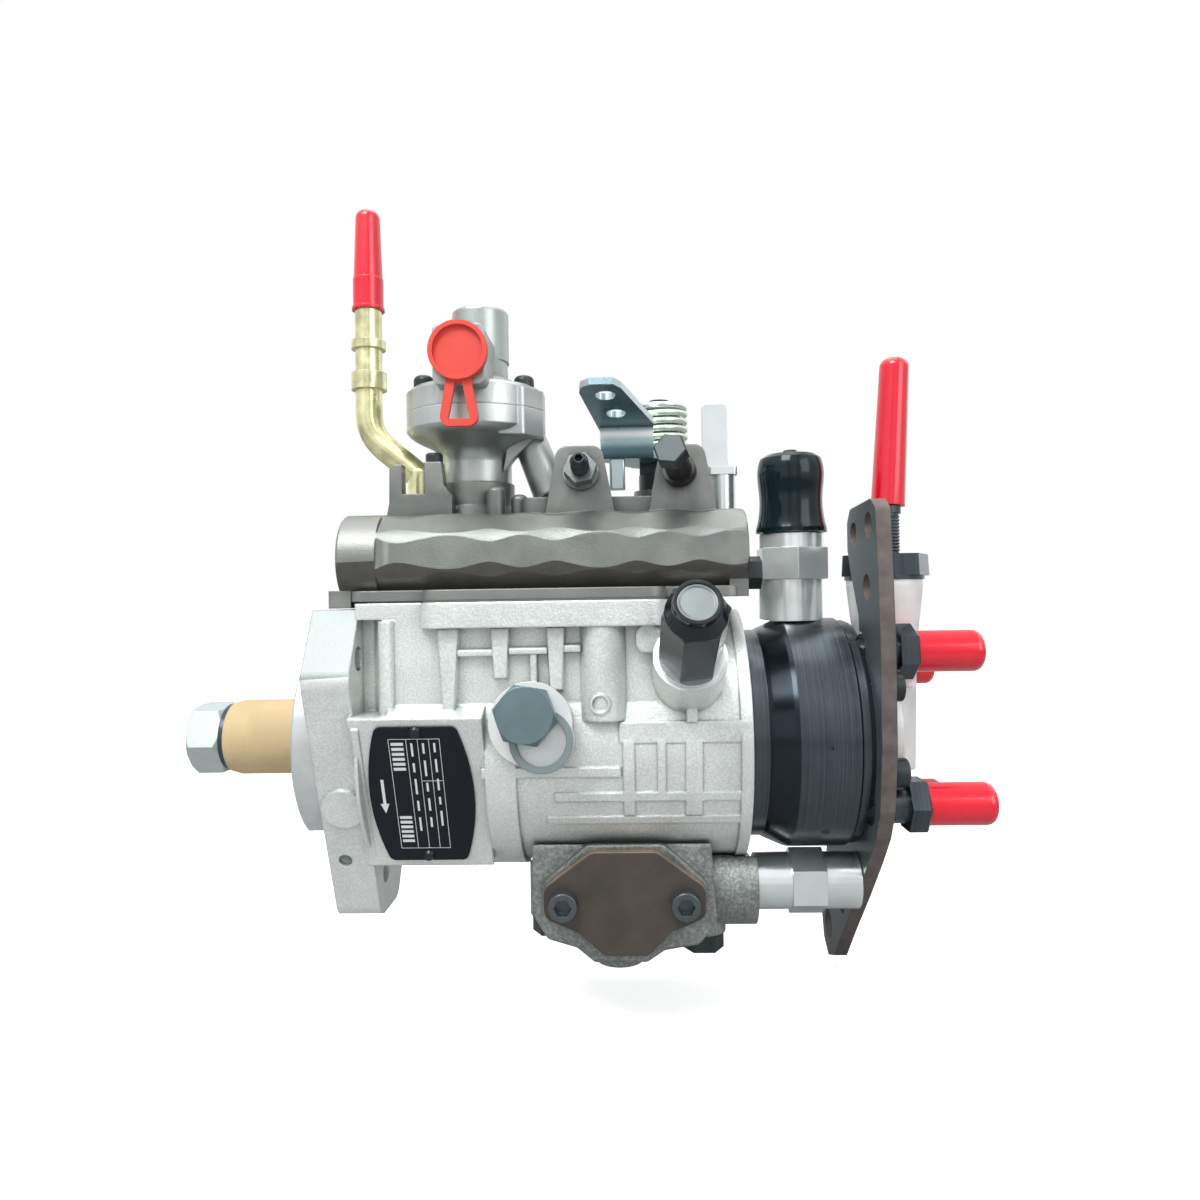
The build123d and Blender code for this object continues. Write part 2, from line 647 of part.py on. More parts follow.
OPEN_R = END_PLATE_R + 2
with BuildPart() as bracket_plate:
    with BuildSketch(Plane.YZ.offset(HEAD_BACK_X)):
        with BuildLine():
            Polyline(
                (-22, 12), (-20, 43), (-10, 58), (-5.5, 67), (-5.5, 77), (-10, 81.5), (-37, 82.5), (-43, 79),
                (-45, 60), (-47, 36), (-47, 0), (-43.5, -21), (-38, -31), (-28, -42), (-11, -59), (10, -79),
                (26, -95), (37, -99), (45, -94), (48, -85), (43, -70), (36, -50), (34, -24), (12, -24),
                close=True,
            )
        make_face()
        fillet(vertices(), 2.5)
        Circle(OPEN_R, mode=Mode.SUBTRACT)
        with Locations(OUTLETS[0], OUTLETS[1], OUTLETS[3]):
            Circle(7.2, mode=Mode.SUBTRACT)
        with Locations(*PLATE_BOLTS):
            Circle(2.75, mode=Mode.SUBTRACT)
        # bracket holes of the upper and lower tongue
        with Locations((-14.5, 72), (-34, 74), (-31, 53)):
            Circle(4.35, mode=Mode.SUBTRACT)
        with Locations((35.5, -86)):
            Circle(6.4, mode=Mode.SUBTRACT)
        with Locations((12, -69)):
            Circle(4.35, mode=Mode.SUBTRACT)
    extrude(amount=PLATE_T)
bracket_plate.part.label = "bracket_plate"
export_step(bracket_plate.part, "parts/bracket_plate.step")

with BuildPart() as bracket_bolts:
    with BuildSketch(Plane.YZ.offset(PLATE_X)):
        with Locations(*PLATE_BOLTS):
            Circle(4.9)
    extrude(amount=6)
    fillet(edges().group_by(Axis.X)[-1], 0.8)
    with BuildSketch(Plane.YZ.offset(PLATE_X)):
        with Locations(*PLATE_BOLTS):
            Circle(2.5)
    extrude(amount=-15)
    with BuildSketch(Plane.YZ.offset(PLATE_X + 6)):
        with Locations(*PLATE_BOLTS):
            RegularPolygon(2.5, 6, major_radius=False)
    extrude(amount=-3, mode=Mode.SUBTRACT)
bracket_bolts.part.label = "bracket_bolts"
export_step(bracket_bolts.part, "parts/bracket_bolts.step")

# ------------------------------------------------------------------ stop solenoid
with BuildPart() as stop_solenoid:
    with BuildSketch(Plane.XY.offset(56)):
        with Locations((COLUMN_X, COLUMN_Y)):
            Circle(14.6)
    extrude(amount=1.4)
    with BuildSketch(Plane.XY.offset(57.4)):
        with Locations((COLUMN_X + 0.6, COLUMN_Y)):
            RegularPolygon(16.6, 6, rotation=0)
    extrude(amount=8, taper=3)
    with BuildSketch(Plane.XY.offset(56)):
        with Locations((COLUMN_X, COLUMN_Y)):
            Circle(7.8)
    extrude(amount=-20)
    # threaded terminal, insulating collar
    with BuildSketch(Plane.XY.offset(65)):
        with Locations((COLUMN_X + 1.4, COLUMN_Y)):
            Circle(2.6)
    extrude(amount=28)
    with BuildSketch(Plane.XY.offset(65)):
        with Locations((COLUMN_X + 1.4, COLUMN_Y)):
            Circle(4.4)
    extrude(amount=16.2)
    with BuildSketch(Plane.XY.offset(81)):
        with Locations((COLUMN_X + 1.4, COLUMN_Y)):
            Circle(5.2)
    extrude(amount=2.8)
stop_solenoid.part.label = "stop_solenoid"
export_step(stop_solenoid.part, "parts/stop_solenoid.step")

SOL_CAP = Plane(origin=(COLUMN_X + 1.9, COLUMN_Y, 84.1), x_dir=(1, 0, 0.06), z_dir=(0.06, 0, 1))
with BuildPart() as solenoid_cap:
    with BuildSketch(SOL_CAP):
        Circle(6.3)
    extrude(amount=56, taper=1.0)
    fillet(edges().group_by(Axis.Z)[-1], 3.5)
    with BuildSketch(Plane.XY.offset(80)):
        with Locations((COLUMN_X + 1.4, COLUMN_Y)):
            Circle(2.9)
    extrude(amount=16, mode=Mode.SUBTRACT)
solenoid_cap.part.label = "solenoid_cap"
export_step(solenoid_cap.part, "parts/solenoid_cap.step")

# ------------------------------------------------------------------ fuel inlet
with BuildPart() as inlet_union:
    with BuildSketch(Plane.XY.offset(HEAD_R - 0.8)):
        with Locations((INLET_X - 0.6, 0)):
            Circle(11.6)
    extrude(amount=15.8)
    with BuildSketch(Plane.XY.offset(INLET_HEX_Z)):
        with Locations((INLET_X, 0)):
            RegularPolygon(12, 6, major_radius=False, rotation=30)
    extrude(amount=11.6)
    with BuildSketch(Plane.XZ):
        with BuildLine():
            Polyline(
                (INLET_X, INLET_HEX_Z + 9), (INLET_X + 11.9, INLET_HEX_Z + 9), (INLET_X + 11.9, INLET_HEX_Z + 16.8),
                (INLET_X + 10.4, INLET_HEX_Z + 17.4), (INLET_X + 10.4, INLET_HEX_Z + 41.4),
                (INLET_X, INLET_HEX_Z + 41.4), close=True,
            )
        make_face()
    revolve(axis=Axis((INLET_X, 0, 0), (0, 0, 1)))
    with BuildSketch(Plane.XY.offset(INLET_HEX_Z + 41.4)):
        with Locations((INLET_X, 0)):
            Circle(5)
    extrude(amount=-60, mode=Mode.SUBTRACT)
    with BuildSketch(Plane.YZ.offset(150)):
        Circle(HEAD_R + 0.02)
    extrude(amount=40, mode=Mode.SUBTRACT)
    with BuildSketch(Plane.XY.offset(HEAD_R + 7)):
        with Locations((INLET_X - 0.6, 0)):
            Circle(7.2)
            Circle(5, mode=Mode.SUBTRACT)
    extrude(amount=-22)
inlet_union.part.label = "inlet_union"
export_step(inlet_union.part, "parts/inlet_union.step")

CAP_Z = INLET_HEX_Z + 17.6
with BuildPart() as inlet_cap:
    with BuildSketch(Plane.XZ):
        with BuildLine():
            Polyline((INLET_X + 10.5, CAP_Z), (INLET_X + 13.1, CAP_Z), (INLET_X + 13.1, CAP_Z + 1.4))
            Spline(
                (INLET_X + 13.1, CAP_Z + 1.4), (INLET_X + 11.9, CAP_Z + 7), (INLET_X + 11.7, CAP_Z + 14),
                (INLET_X + 12.3, CAP_Z + 22), (INLET_X + 11.2, CAP_Z + 27.6),
            )
            Polyline(
                (INLET_X + 11.2, CAP_Z + 27.6), (INLET_X + 9, CAP_Z + 29), (INLET_X + 3.4, CAP_Z + 29.6),
                (INLET_X + 2.4, CAP_Z + 30.8), (INLET_X, CAP_Z + 31), (INLET_X, CAP_Z + 24.4),
                (INLET_X + 10.5, CAP_Z + 24.4), (INLET_X + 10.5, CAP_Z),
            )
        make_face()
    revolve(axis=Axis((INLET_X, 0, 0), (0, 0, 1)))
inlet_cap.part.label = "inlet_cap"
export_step(inlet_cap.part, "parts/inlet_cap.step")

# ------------------------------------------------------------------ speed advance unit
SADDLE_R = BARREL_R + 1.1 + GAP
ADV_FACE_Y = -35.5
COVER_SCREWS = [(84.0, -51.6), (124.8, -51.6)]
with BuildPart() as advance_housing:
    with BuildSketch(Plane.XZ.offset(-34)):
        with BuildLine():
            Polyline(
                (73, -30), (134, -30), (136, -60), (130, -68), (118, -70), (112, -74), (94, -74),
                (88, -69), (78, -66), (73, -58), close=True,
            )
        make_face()
        fillet(vertices(), 3)
    extrude(amount=34 - ADV_FACE_Y - 3.5)
    # cover flange
    with BuildSketch(Plane.XZ.offset(-ADV_FACE_Y - 4)):
        with BuildLine():
            Polyline(
                (92, -33), (118, -33), (132.5, -46), (132.5, -57), (121, -63), (112, -71), (98, -71),
                (88, -63), (76.5, -57), (76.5, -46), close=True,
            )
        make_face()
        fillet(vertices(), 4)
    extrude(amount=4)
    # side boss for the fitting
    with BuildSketch(Plane.YZ.offset(120)):
        with Locations((FIT_Y, FIT_Z)):
            Circle(15)
    extrude(amount=31.2)
    with BuildSketch(Plane.YZ.offset(120)):
        with Locations((FIT_Y + 16, FIT_Z - 3)):
            Rectangle(20, 24)
    extrude(amount=24)
    # bottom boss and the seats of the two bolts
    with BuildSketch(Plane.XY.offset(-79)):
        with Locations((102.5, -16)):
            Circle(8.5)
    extrude(amount=12, taper=-8)
    for x, z in ADV_BOLTS:
        with BuildSketch(Plane.XY.offset(z)):
            with Locations((x, ADV_BOLT_Y)):
                Circle(8.2)
        extrude(amount=24)
        with BuildSketch(Plane.XY.offset(z)):
            with Locations((x, ADV_BOLT_Y)):
                Circle(8.2)
        extrude(amount=-6, mode=Mode.SUBTRACT)
    with BuildSketch(Plane.YZ.offset(70)):
        Circle(SADDLE_R)
    extrude(amount=90, mode=Mode.SUBTRACT)
    with BuildSketch(Plane.XY.offset(-80)):
        with Locations(*[(x, ADV_BOLT_Y) for x, z in ADV_BOLTS]):
            Circle(4)
    extrude(amount=44, mode=Mode.SUBTRACT)
    # piston bore, open at the cover
    with BuildSketch(Plane.XZ.offset(-ADV_FACE_Y)):
        with Locations((CAM_X, PISTON_Z)):
            Circle(PISTON_R + RUN)
    extrude(amount=ADV_FACE_Y - 29, mode=Mode.SUBTRACT)
    with BuildSketch(Plane.XY.offset(PISTON_Z)):
        with Locations((CAM_X, 0)):
            SlotOverall(21, 11, rotation=90)
    extrude(amount=20, mode=Mode.SUBTRACT)
    with BuildSketch(Plane.XZ.offset(-ADV_FACE_Y)):
        with Locations(*COVER_SCREWS):
            Circle(2.52)
    extrude(amount=-14, mode=Mode.SUBTRACT)
    with BuildSketch(Plane.YZ.offset(151.2)):
        with Locations((FIT_Y, FIT_Z)):
            Circle(8.02)
    extrude(amount=-14, mode=Mode.SUBTRACT)
advance_housing.part.label = "advance_housing"
export_step(advance_housing.part, "parts/advance_housing.step")

with BuildPart() as advance_bolts:
    for x, z in ADV_BOLTS:
        with BuildSketch(Plane.XY.offset(z)):
            with Locations((x, ADV_BOLT_Y)):
                Circle(7.6)
        extrude(amount=-1)
        with BuildSketch(Plane.XY.offset(z - 1)):
            with Locations((x, ADV_BOLT_Y)):
                RegularPolygon(6.5, 6, major_radius=False)
        extrude(amount=-5.4)
        with BuildSketch(Plane.XY.offset(z)):
            with Locations((x, ADV_BOLT_Y)):
                Circle(4)
        extrude(amount=-36.8 - z)
advance_bolts.part.label = "advance_bolts"
export_step(advance_bolts.part, "parts/advance_bolts.step")

with BuildPart() as advance_cover:
    with BuildSketch(Plane.XZ.offset(-ADV_FACE_Y)):
        with BuildLine():
            Polyline(
                (93.5, -34.5), (115.5, -34.5), (131.8, -46.5), (131.8, -56.5), (120, -61.5), (112.5, -69.2),
                (97.5, -69.2), (89, -61.5), (77.2, -56.5), (77.2, -46.5), close=True,
            )
        make_face()
        fillet(vertices(), 4.5)
        with Locations(*COVER_SCREWS):
            Circle(2.75, mode=Mode.SUBTRACT)
    extrude(amount=3.6)
    fillet(edges().group_by(Axis.Y)[0].filter_by(GeomType.LINE), 0.4)
advance_cover.part.label = "advance_cover"
export_step(advance_cover.part, "parts/advance_cover.step")

ADV_COVER_Y = -ADV_FACE_Y + 3.6
with BuildPart() as advance_cover_screws:
    with BuildSketch(Plane.XZ.offset(ADV_COVER_Y)):
        with Locations(*COVER_SCREWS):
            Circle(4.9)
    extrude(amount=5)
    fillet(edges().group_by(Axis.Y)[0], 0.6)
    with BuildSketch(Plane.XZ.offset(ADV_COVER_Y)):
        with Locations(*COVER_SCREWS):
            Circle(2.5)
    extrude(amount=-16)
    with BuildSketch(Plane.XZ.offset(ADV_COVER_Y + 5)):
        with Locations(*COVER_SCREWS):
            RegularPolygon(2.6, 6, major_radius=False)
    extrude(amount=-3, mode=Mode.SUBTRACT)
advance_cover_screws.part.label = "advance_cover_screws"
export_step(advance_cover_screws.part, "parts/advance_cover_screws.step")

PISTON_L = 32.0
PISTON_Y = -18.0
with BuildPart() as advance_piston:
    with BuildSketch(Plane.XZ.offset(-PISTON_Y)):
        with Locations((CAM_X, PISTON_Z)):
            Circle(PISTON_R)
    extrude(amount=-PISTON_L)
    with BuildSketch(Plane.XZ.offset(-PISTON_Y - PISTON_L)):
        with Locations((CAM_X, PISTON_Z)):
            Circle(6.5)
    extrude(amount=8, mode=Mode.SUBTRACT)
    with BuildSketch(Plane.XY.offset(PISTON_Z - 2)):
        with Locations((CAM_X, 0)):
            SlotOverall(8.6, 8.4, rotation=90)
    extrude(amount=14, mode=Mode.SUBTRACT)
advance_piston.part.label = "advance_piston"
export_step(advance_piston.part, "parts/advance_piston.step")

with BuildPart() as advance_spring:
    with BuildSketch(Plane.XZ.offset(-10.2)):
        with Locations((CAM_X, PISTON_Z)):
            Circle(6.1)
            Circle(4.6, mode=Mode.SUBTRACT)
    extrude(amount=10.2 - 28.9)
advance_spring.part.label = "advance_spring"
export_step(advance_spring.part, "parts/advance_spring.step")

with BuildPart() as advance_fitting:
    with BuildSketch(Plane.YZ.offset(137.5)):
        with Locations((FIT_Y, FIT_Z)):
            Circle(8)
    extrude(amount=14)
    with BuildSketch(Plane.YZ.offset(151.4)):
        with Locations((FIT_Y, FIT_Z)):
            Circle(10)
    extrude(amount=HEAD_BACK_X - GAP - 151.4)
    with BuildSketch(Plane.YZ.offset(163.8)):
        with Locations((FIT_Y, FIT_Z)):
            RegularPolygon(10.4, 6, major_radius=False, rotation=30)
    extrude(amount=12)
    with BuildSketch(Plane.YZ.offset(137)):
        with Locations((FIT_Y, FIT_Z)):
            Circle(4)
    extrude(amount=40, mode=Mode.SUBTRACT)
    with BuildSketch(Plane.YZ.offset(150)):
        Circle(HEAD_R + GAP)
    extrude(amount=HEAD_BACK_X - 148, mode=Mode.SUBTRACT)
advance_fitting.part.label = "advance_fitting"
export_step(advance_fitting.part, "parts/advance_fitting.step")

# ------------------------------------------------------------------ governor cover
COVER_TOP_Z = 79.0
MAX_DIR = (-0.245, -0.918, 0.31)
IDLE_DIR = (0, -cos(radians(12)), sin(radians(12)))
IDLE = Plane(origin=(91.6, -28.4, 94.0), x_dir=(1, 0, 0), z_dir=IDLE_DIR)
MAXS = Plane(origin=(126.4, -28.4, 92.9), x_dir=(1, 0, 0.79), z_dir=MAX_DIR)
EAR_BOLT = (38.2, -17.0)
COVER_X0 = 12.5
COVER_L = HOUSING_X - 14.5
# place along the rail, as a share of its length, and radius there
RAIL_WAVES = [
    (0, 16), (0.04, 15.5), (0.12, 15.8), (0.22, 16.1), (0.315, 15.5), (0.395, 16.1), (0.475, 15.5),
    (0.565, 16.1), (0.645, 16.1), (0.70, 15.6), (0.79, 16.2), (0.87, 15.6), (0.94, 16.1), (1, 16),
]
FACET = 15.1               # distance of the flats along the rail from its axis
with BuildPart() as governor_cover:
    # wavy rail with three rows of flats
    with BuildSketch(Plane.XY.offset(RAIL_Z)):
        with BuildLine():
            Polyline((9, RAIL_Y), (9, RAIL_Y + RAIL_R - 0.8), (9.8, RAIL_Y + RAIL_R), (23, RAIL_Y + RAIL_R))
            Spline([(23 + (RAIL_END_X - 23.8) * f, RAIL_Y + r) for f, r in RAIL_WAVES])
            Polyline(
                (RAIL_END_X - 0.8, RAIL_Y + RAIL_R), (RAIL_END_X, RAIL_Y + RAIL_R - 0.8), (RAIL_END_X, RAIL_Y),
                (9, RAIL_Y),
            )
        make_face()
    revolve(axis=Axis((0, RAIL_Y, RAIL_Z), (1, 0, 0)))
    for a in (128, 173, 218):
        y, z = ring_point(FACET + 5, a)
        with BuildSketch(Plane.YZ.offset(22.5)):
            with Locations((RAIL_Y + y, RAIL_Z + z)):
                Rectangle(10, 30, rotation=a)
        extrude(amount=RAIL_END_X - 22.5, mode=Mode.SUBTRACT)
    with BuildSketch(Plane.XY.offset(COVER_Z)):
        with Locations((80, RAIL_Y)):
            Rectangle(180, 60)
    extrude(amount=-20, mode=Mode.SUBTRACT)
    # deck flange and raised top
    with BuildSketch(Plane.XY.offset(COVER_Z)):
        with Locations((79.2, -1)):
            RectangleRounded(81, 90, 6)
        with Locations((COVER_X0 + COVER_L / 2, 0)):
            RectangleRounded(COVER_L, 78, 5)
    extrude(amount=3.6)
    with BuildSketch(Plane.XY.offset(COVER_Z)):
        with Locations((COVER_X0 + COVER_L / 2 + 0.5, 5)):
            RectangleRounded(COVER_L + 1, 66, 7)
    extrude(amount=COVER_TOP_Z - COVER_Z)
    # small round humps beside the collar
    for x, y, r, top in ((68.6, -15.5, 3.0, 9.5), (60.4, -17.5, 3.4, 12.5)):
        with BuildSketch(Plane.XY.offset(COVER_TOP_Z - 4)):
            with Locations((x, y)):
                Circle(r)
        extrude(amount=top + 4)
        fillet(edges().group_by(Axis.Z)[-1], 2)
    # front foot and rear corner
    with BuildSketch(Plane.XY.offset(48.5)):
        with Locations((9.4, -24)):
            Rectangle(7.6, 26)
    extrude(amount=6)
    with BuildSketch(Plane.XY.offset(COVER_Z)):
        with Locations((HOUSING_X - 3, -30)):
            Rectangle(6.4, 15)
    extrude(amount=9)
    # stop screw bosses with a web between them
    for x0, x1, top in ((83.4, 98.8, 103.6), (119.4, 134.1, 103.4)):
        with BuildSketch(Plane.XZ.offset(7)):
            with BuildLine():
                Polyline((x0 - 5.2, 76), (x0, top), (x1, top), (x1 + 5.2, 76), close=True)
            make_face()
            fillet(vertices().group_by(Axis.Z)[-1], 4)
        extrude(amount=21)
    with BuildSketch(Plane.XZ.offset(9)):
        with Locations((110.5, 82)):
            Rectangle(20, 9)
    extrude(amount=13)
    with BuildSketch(Plane.XY.offset(70)):
        with Locations((76.5, -19)):
            SlotOverall(13, 10)
    extrude(amount=16.5)
    # collar of the boost body
    with BuildSketch(Plane.XY.offset(COVER_TOP_Z - 4)):
        with Locations((BOOST_X, 0)):
            Circle(14)
    extrude(amount=BOOST_Z - COVER_TOP_Z + 4)
    with BuildSketch(Plane.XY.offset(COVER_TOP_Z)):
        with Locations((BOOST_X, 0)):
            Circle(19)
    extrude(amount=6.5, taper=38)
    # spot face for the end of the return pipe
    with BuildSketch(Plane.XY.offset(COVER_TOP_Z)):
        with Locations((30, 0)):
            Circle(5.8)
    extrude(amount=10, mode=Mode.SUBTRACT)
    # bearing of the throttle shaft, boss of the spring post
    with BuildSketch(Plane.XY.offset(COVER_TOP_Z - 4)):
        with Locations((THROTTLE_X, THROTTLE_Y)):
            Circle(10.5)
    extrude(amount=18)
    with BuildSketch(Plane.XY.offset(COVER_TOP_Z - 4)):
        with Locations((POST_X - 0.6, POST_Y)):
            Circle(6.4)
    extrude(amount=6)
    # ear with a window beside the boost body
    with BuildSketch(Plane.XZ.offset(14)):
        with BuildLine():
            Polyline(
                (20, 74), (22.4, 86), (22.6, 98), (24, 99.6), (27, 99.6), (27, 89), (35.2, 89), (35.2, 100.4),
                (41.2, 100.4), (42, 92), (45, 88), (45, 74), close=True,
            )
        make_face()
        fillet(vertices().sort_by(Axis.X)[2:4], 1.2)
    extrude(amount=6)
    # hollow inside
    with BuildSketch(Plane.XY.offset(COVER_Z)):
        with Locations((78, 7)):
            RectangleRounded(92, 44, 6)
    extrude(amount=21, mode=Mode.SUBTRACT)
    # bores: rail, boost rod, throttle shaft, pipe seat, post, screws
    with BuildSketch(Plane.YZ.offset(RAIL_END_X)):
        with Locations((RAIL_Y - 3, 58.6)):
            Circle(2.52)
    extrude(amount=-12, mode=Mode.SUBTRACT)
    with BuildSketch(Plane.XY.offset(BOOST_Z)):
        with Locations((BOOST_X, 0)):
            Circle(4)
    extrude(amount=-24, mode=Mode.SUBTRACT)
    with BuildSketch(Plane.XY.offset(COVER_TOP_Z + 14)):
        with Locations((THROTTLE_X, THROTTLE_Y)):
            Circle(5 + RUN)
    extrude(amount=-40, mode=Mode.SUBTRACT)
    with BuildSketch(Plane.XY.offset(COVER_TOP_Z)):
        with Locations((30, 0)):
            Circle(4.52)
    extrude(amount=-6, mode=Mode.SUBTRACT)
    with BuildSketch(Plane.XY.offset(COVER_TOP_Z + 2)):
        with Locations((POST_X - 0.6, POST_Y)):
            Circle(3.02)
    extrude(amount=-8, mode=Mode.SUBTRACT)
    for screw, face_r, step in ((IDLE, 6.6, 0.55), (MAXS, 6.2, 1.55)):
        with BuildSketch(screw):
            Circle(2.92)
        extrude(amount=26, both=True, mode=Mode.SUBTRACT)
        with BuildSketch(screw.offset(step)):
            Circle(face_r)
        extrude(amount=8, mode=Mode.SUBTRACT)
    with BuildSketch(Plane.XY.offset(100.4)):
        with Locations(EAR_BOLT):
            Circle(1.52)
    extrude(amount=-10, mode=Mode.SUBTRACT)
governor_cover.part.label = "governor_cover"
export_step(governor_cover.part, "parts/governor_cover.step")

with BuildPart() as cover_gasket:
    with BuildSketch(Plane.XY.offset(DECK_Z)):
        with Locations((79.2, -1)):
            RectangleRounded(81, 90.6, 6)
        with Locations((77.5, 0)):
            RectangleRounded(120, 76, 5)
        with Locations((78, 0)):
            RectangleRounded(92, 46, 6, mode=Mode.SUBTRACT)
    extrude(amount=GASKET_T)
cover_gasket.part.label = "cover_gasket"
export_step(cover_gasket.part, "parts/cover_gasket.step")

with BuildPart() as rail_end_bolt:
    with BuildSketch(Plane.YZ.offset(RAIL_END_X)):
        with Locations((RAIL_Y - 3, 58.6)):
            RegularPolygon(5, 6, major_radius=False, rotation=20)
    extrude(amount=5.2)
    with BuildSketch(Plane.YZ.offset(RAIL_END_X)):
        with Locations((RAIL_Y - 3, 58.6)):
            Circle(2.5)
    extrude(amount=-11.5)
rail_end_bolt.part.label = "rail_end_bolt"
export_step(rail_end_bolt.part, "parts/rail_end_bolt.step")

with BuildPart() as ear_bolt:
    with BuildSketch(Plane.XY.offset(100.4)):
        with Locations(EAR_BOLT):
            Circle(3.1)
    extrude(amount=3.4)
    fillet(edges().group_by(Axis.Z)[-1], 1)
    with BuildSketch(Plane.XY.offset(100.4)):
        with Locations(EAR_BOLT):
            Circle(1.5)
    extrude(amount=-9)
ear_bolt.part.label = "ear_bolt"
export_step(ear_bolt.part, "parts/ear_bolt.step")

# stop screws
with BuildPart() as idle_screw:
    with BuildSketch(IDLE.offset(-22)):
        Circle(2.9)
    extrude(amount=34)
    with BuildSketch(IDLE.offset(12)):
        Circle(2.9)
    extrude(amount=3, taper=20)
    with BuildSketch(IDLE.offset(15)):
        RegularPolygon(1.2, 6, major_radius=False)
    extrude(amount=-2.5, mode=Mode.SUBTRACT)
idle_screw.part.label = "idle_screw"
export_step(idle_screw.part, "parts/idle_screw.step")

with BuildPart() as idle_locknut:
    with BuildSketch(IDLE.offset(1.2)):
        RegularPolygon(5, 6, major_radius=False, rotation=12)
        Circle(2.92, mode=Mode.SUBTRACT)
    extrude(amount=4.8)
    with BuildSketch(IDLE.offset(0.6)):
        Circle(6.2)
        Circle(2.92, mode=Mode.SUBTRACT)
    extrude(amount=0.6)
idle_locknut.part.label = "idle_locknut"
export_step(idle_locknut.part, "parts/idle_locknut.step")

with BuildPart() as max_speed_screw:
    with BuildSketch(MAXS.offset(-22)):
        Circle(2.9)
    extrude(amount=38)
    with BuildSketch(MAXS.offset(15)):
        RegularPolygon(5, 6, major_radius=False, rotation=10)
    extrude(amount=5)
    chamfer(faces().sort_by(Axis((0, 0, 0), MAX_DIR))[-1].edges(), 0.5)
max_speed_screw.part.label = "max_speed_screw"
export_step(max_speed_screw.part, "parts/max_speed_screw.step")

with BuildPart() as max_speed_seal:
    with BuildSketch(MAXS.offset(1.6)):
        Circle(5.6)
        Circle(2.92, mode=Mode.SUBTRACT)
    extrude(amount=3.4)
    with BuildSketch(MAXS.offset(5)):
        Circle(4.4)
        Circle(2.92, mode=Mode.SUBTRACT)
    extrude(amount=8.5)
max_speed_seal.part.label = "max_speed_seal"
export_step(max_speed_seal.part, "parts/max_speed_seal.step")

# ------------------------------------------------------------------ boost control
JOINT_Z = 120.0
BOOST_SCREWS = [(BOOST_X + 21 * cos(radians(a)), 21 * sin(radians(a))) for a in (-24, 95, 215)]
with BuildPart() as boost_body:
    with BuildSketch(Plane.XZ):
        with BuildLine():
            Polyline(
                (BOOST_X, JOINT_Z), (BOOST_X, BOOST_Z), (BOOST_X + 13, BOOST_Z), (BOOST_X + 13, BOOST_Z + 8),
            )
            Spline(
                (BOOST_X + 13, BOOST_Z + 8), (BOOST_X + 15.2, BOOST_Z + 12.6), (BOOST_X + 20, BOOST_Z + 15.4),
                (BOOST_X + BOOST_R - 1, BOOST_Z + 18.4),
            )
            Polyline(
                (BOOST_X + BOOST_R - 1, BOOST_Z + 18.4), (BOOST_X + BOOST_R, BOOST_Z + 19.6),
                (BOOST_X + BOOST_R, JOINT_Z), (BOOST_X, JOINT_Z),
            )
        make_face()
    revolve(axis=Axis((BOOST_X, 0, 0), (0, 0, 1)))
    with BuildSketch(Plane.XY.offset(110)):
        with BuildLine():
            Polyline((62, -20), (71, -18.5), (77.4, -9), (76, 2), (62, 0), close=True)
        make_face()
        fillet(vertices().sort_by(Axis.X)[-3:], 2)
    extrude(amount=JOINT_Z - 110)
    # slanted side tube and its rib
    with BuildSketch(Plane(origin=(70.5, 0, 112), x_dir=(1, 0, 0.4), z_dir=(0.4, 0, -1))):
        Circle(6.2)
    extrude(amount=23, taper=-2)
    with BuildSketch(Plane(origin=(70.5, 0, 112), x_dir=(1, 0, 0.4), z_dir=(0.4, 0, -1)).offset(23)):
        Circle(4.6)
    extrude(amount=-17, mode=Mode.SUBTRACT)
    with BuildSketch(Plane.XZ.offset(3)):
        with BuildLine():
            Polyline((62, 98), (64, 111), (74.5, 111), (66, 103), close=True)
        make_face()
    extrude(amount=5)
    with BuildSketch(Plane.XY.offset(JOINT_Z)):
        with Locations((BOOST_X, 0)):
            Circle(18)
    extrude(amount=-6.5, mode=Mode.SUBTRACT)
    with BuildSketch(Plane.XY.offset(JOINT_Z)):
        with Locations((BOOST_X, 0)):
            Circle(3 + RUN)
    extrude(amount=JOINT_Z - BOOST_Z, dir=(0, 0, -1), mode=Mode.SUBTRACT)
    with BuildSketch(Plane.XY.offset(JOINT_Z)):
        with Locations(*BOOST_SCREWS):
            Circle(2.02)
    extrude(amount=-7, mode=Mode.SUBTRACT)
boost_body.part.label = "boost_body"
export_step(boost_body.part, "parts/boost_body.step")

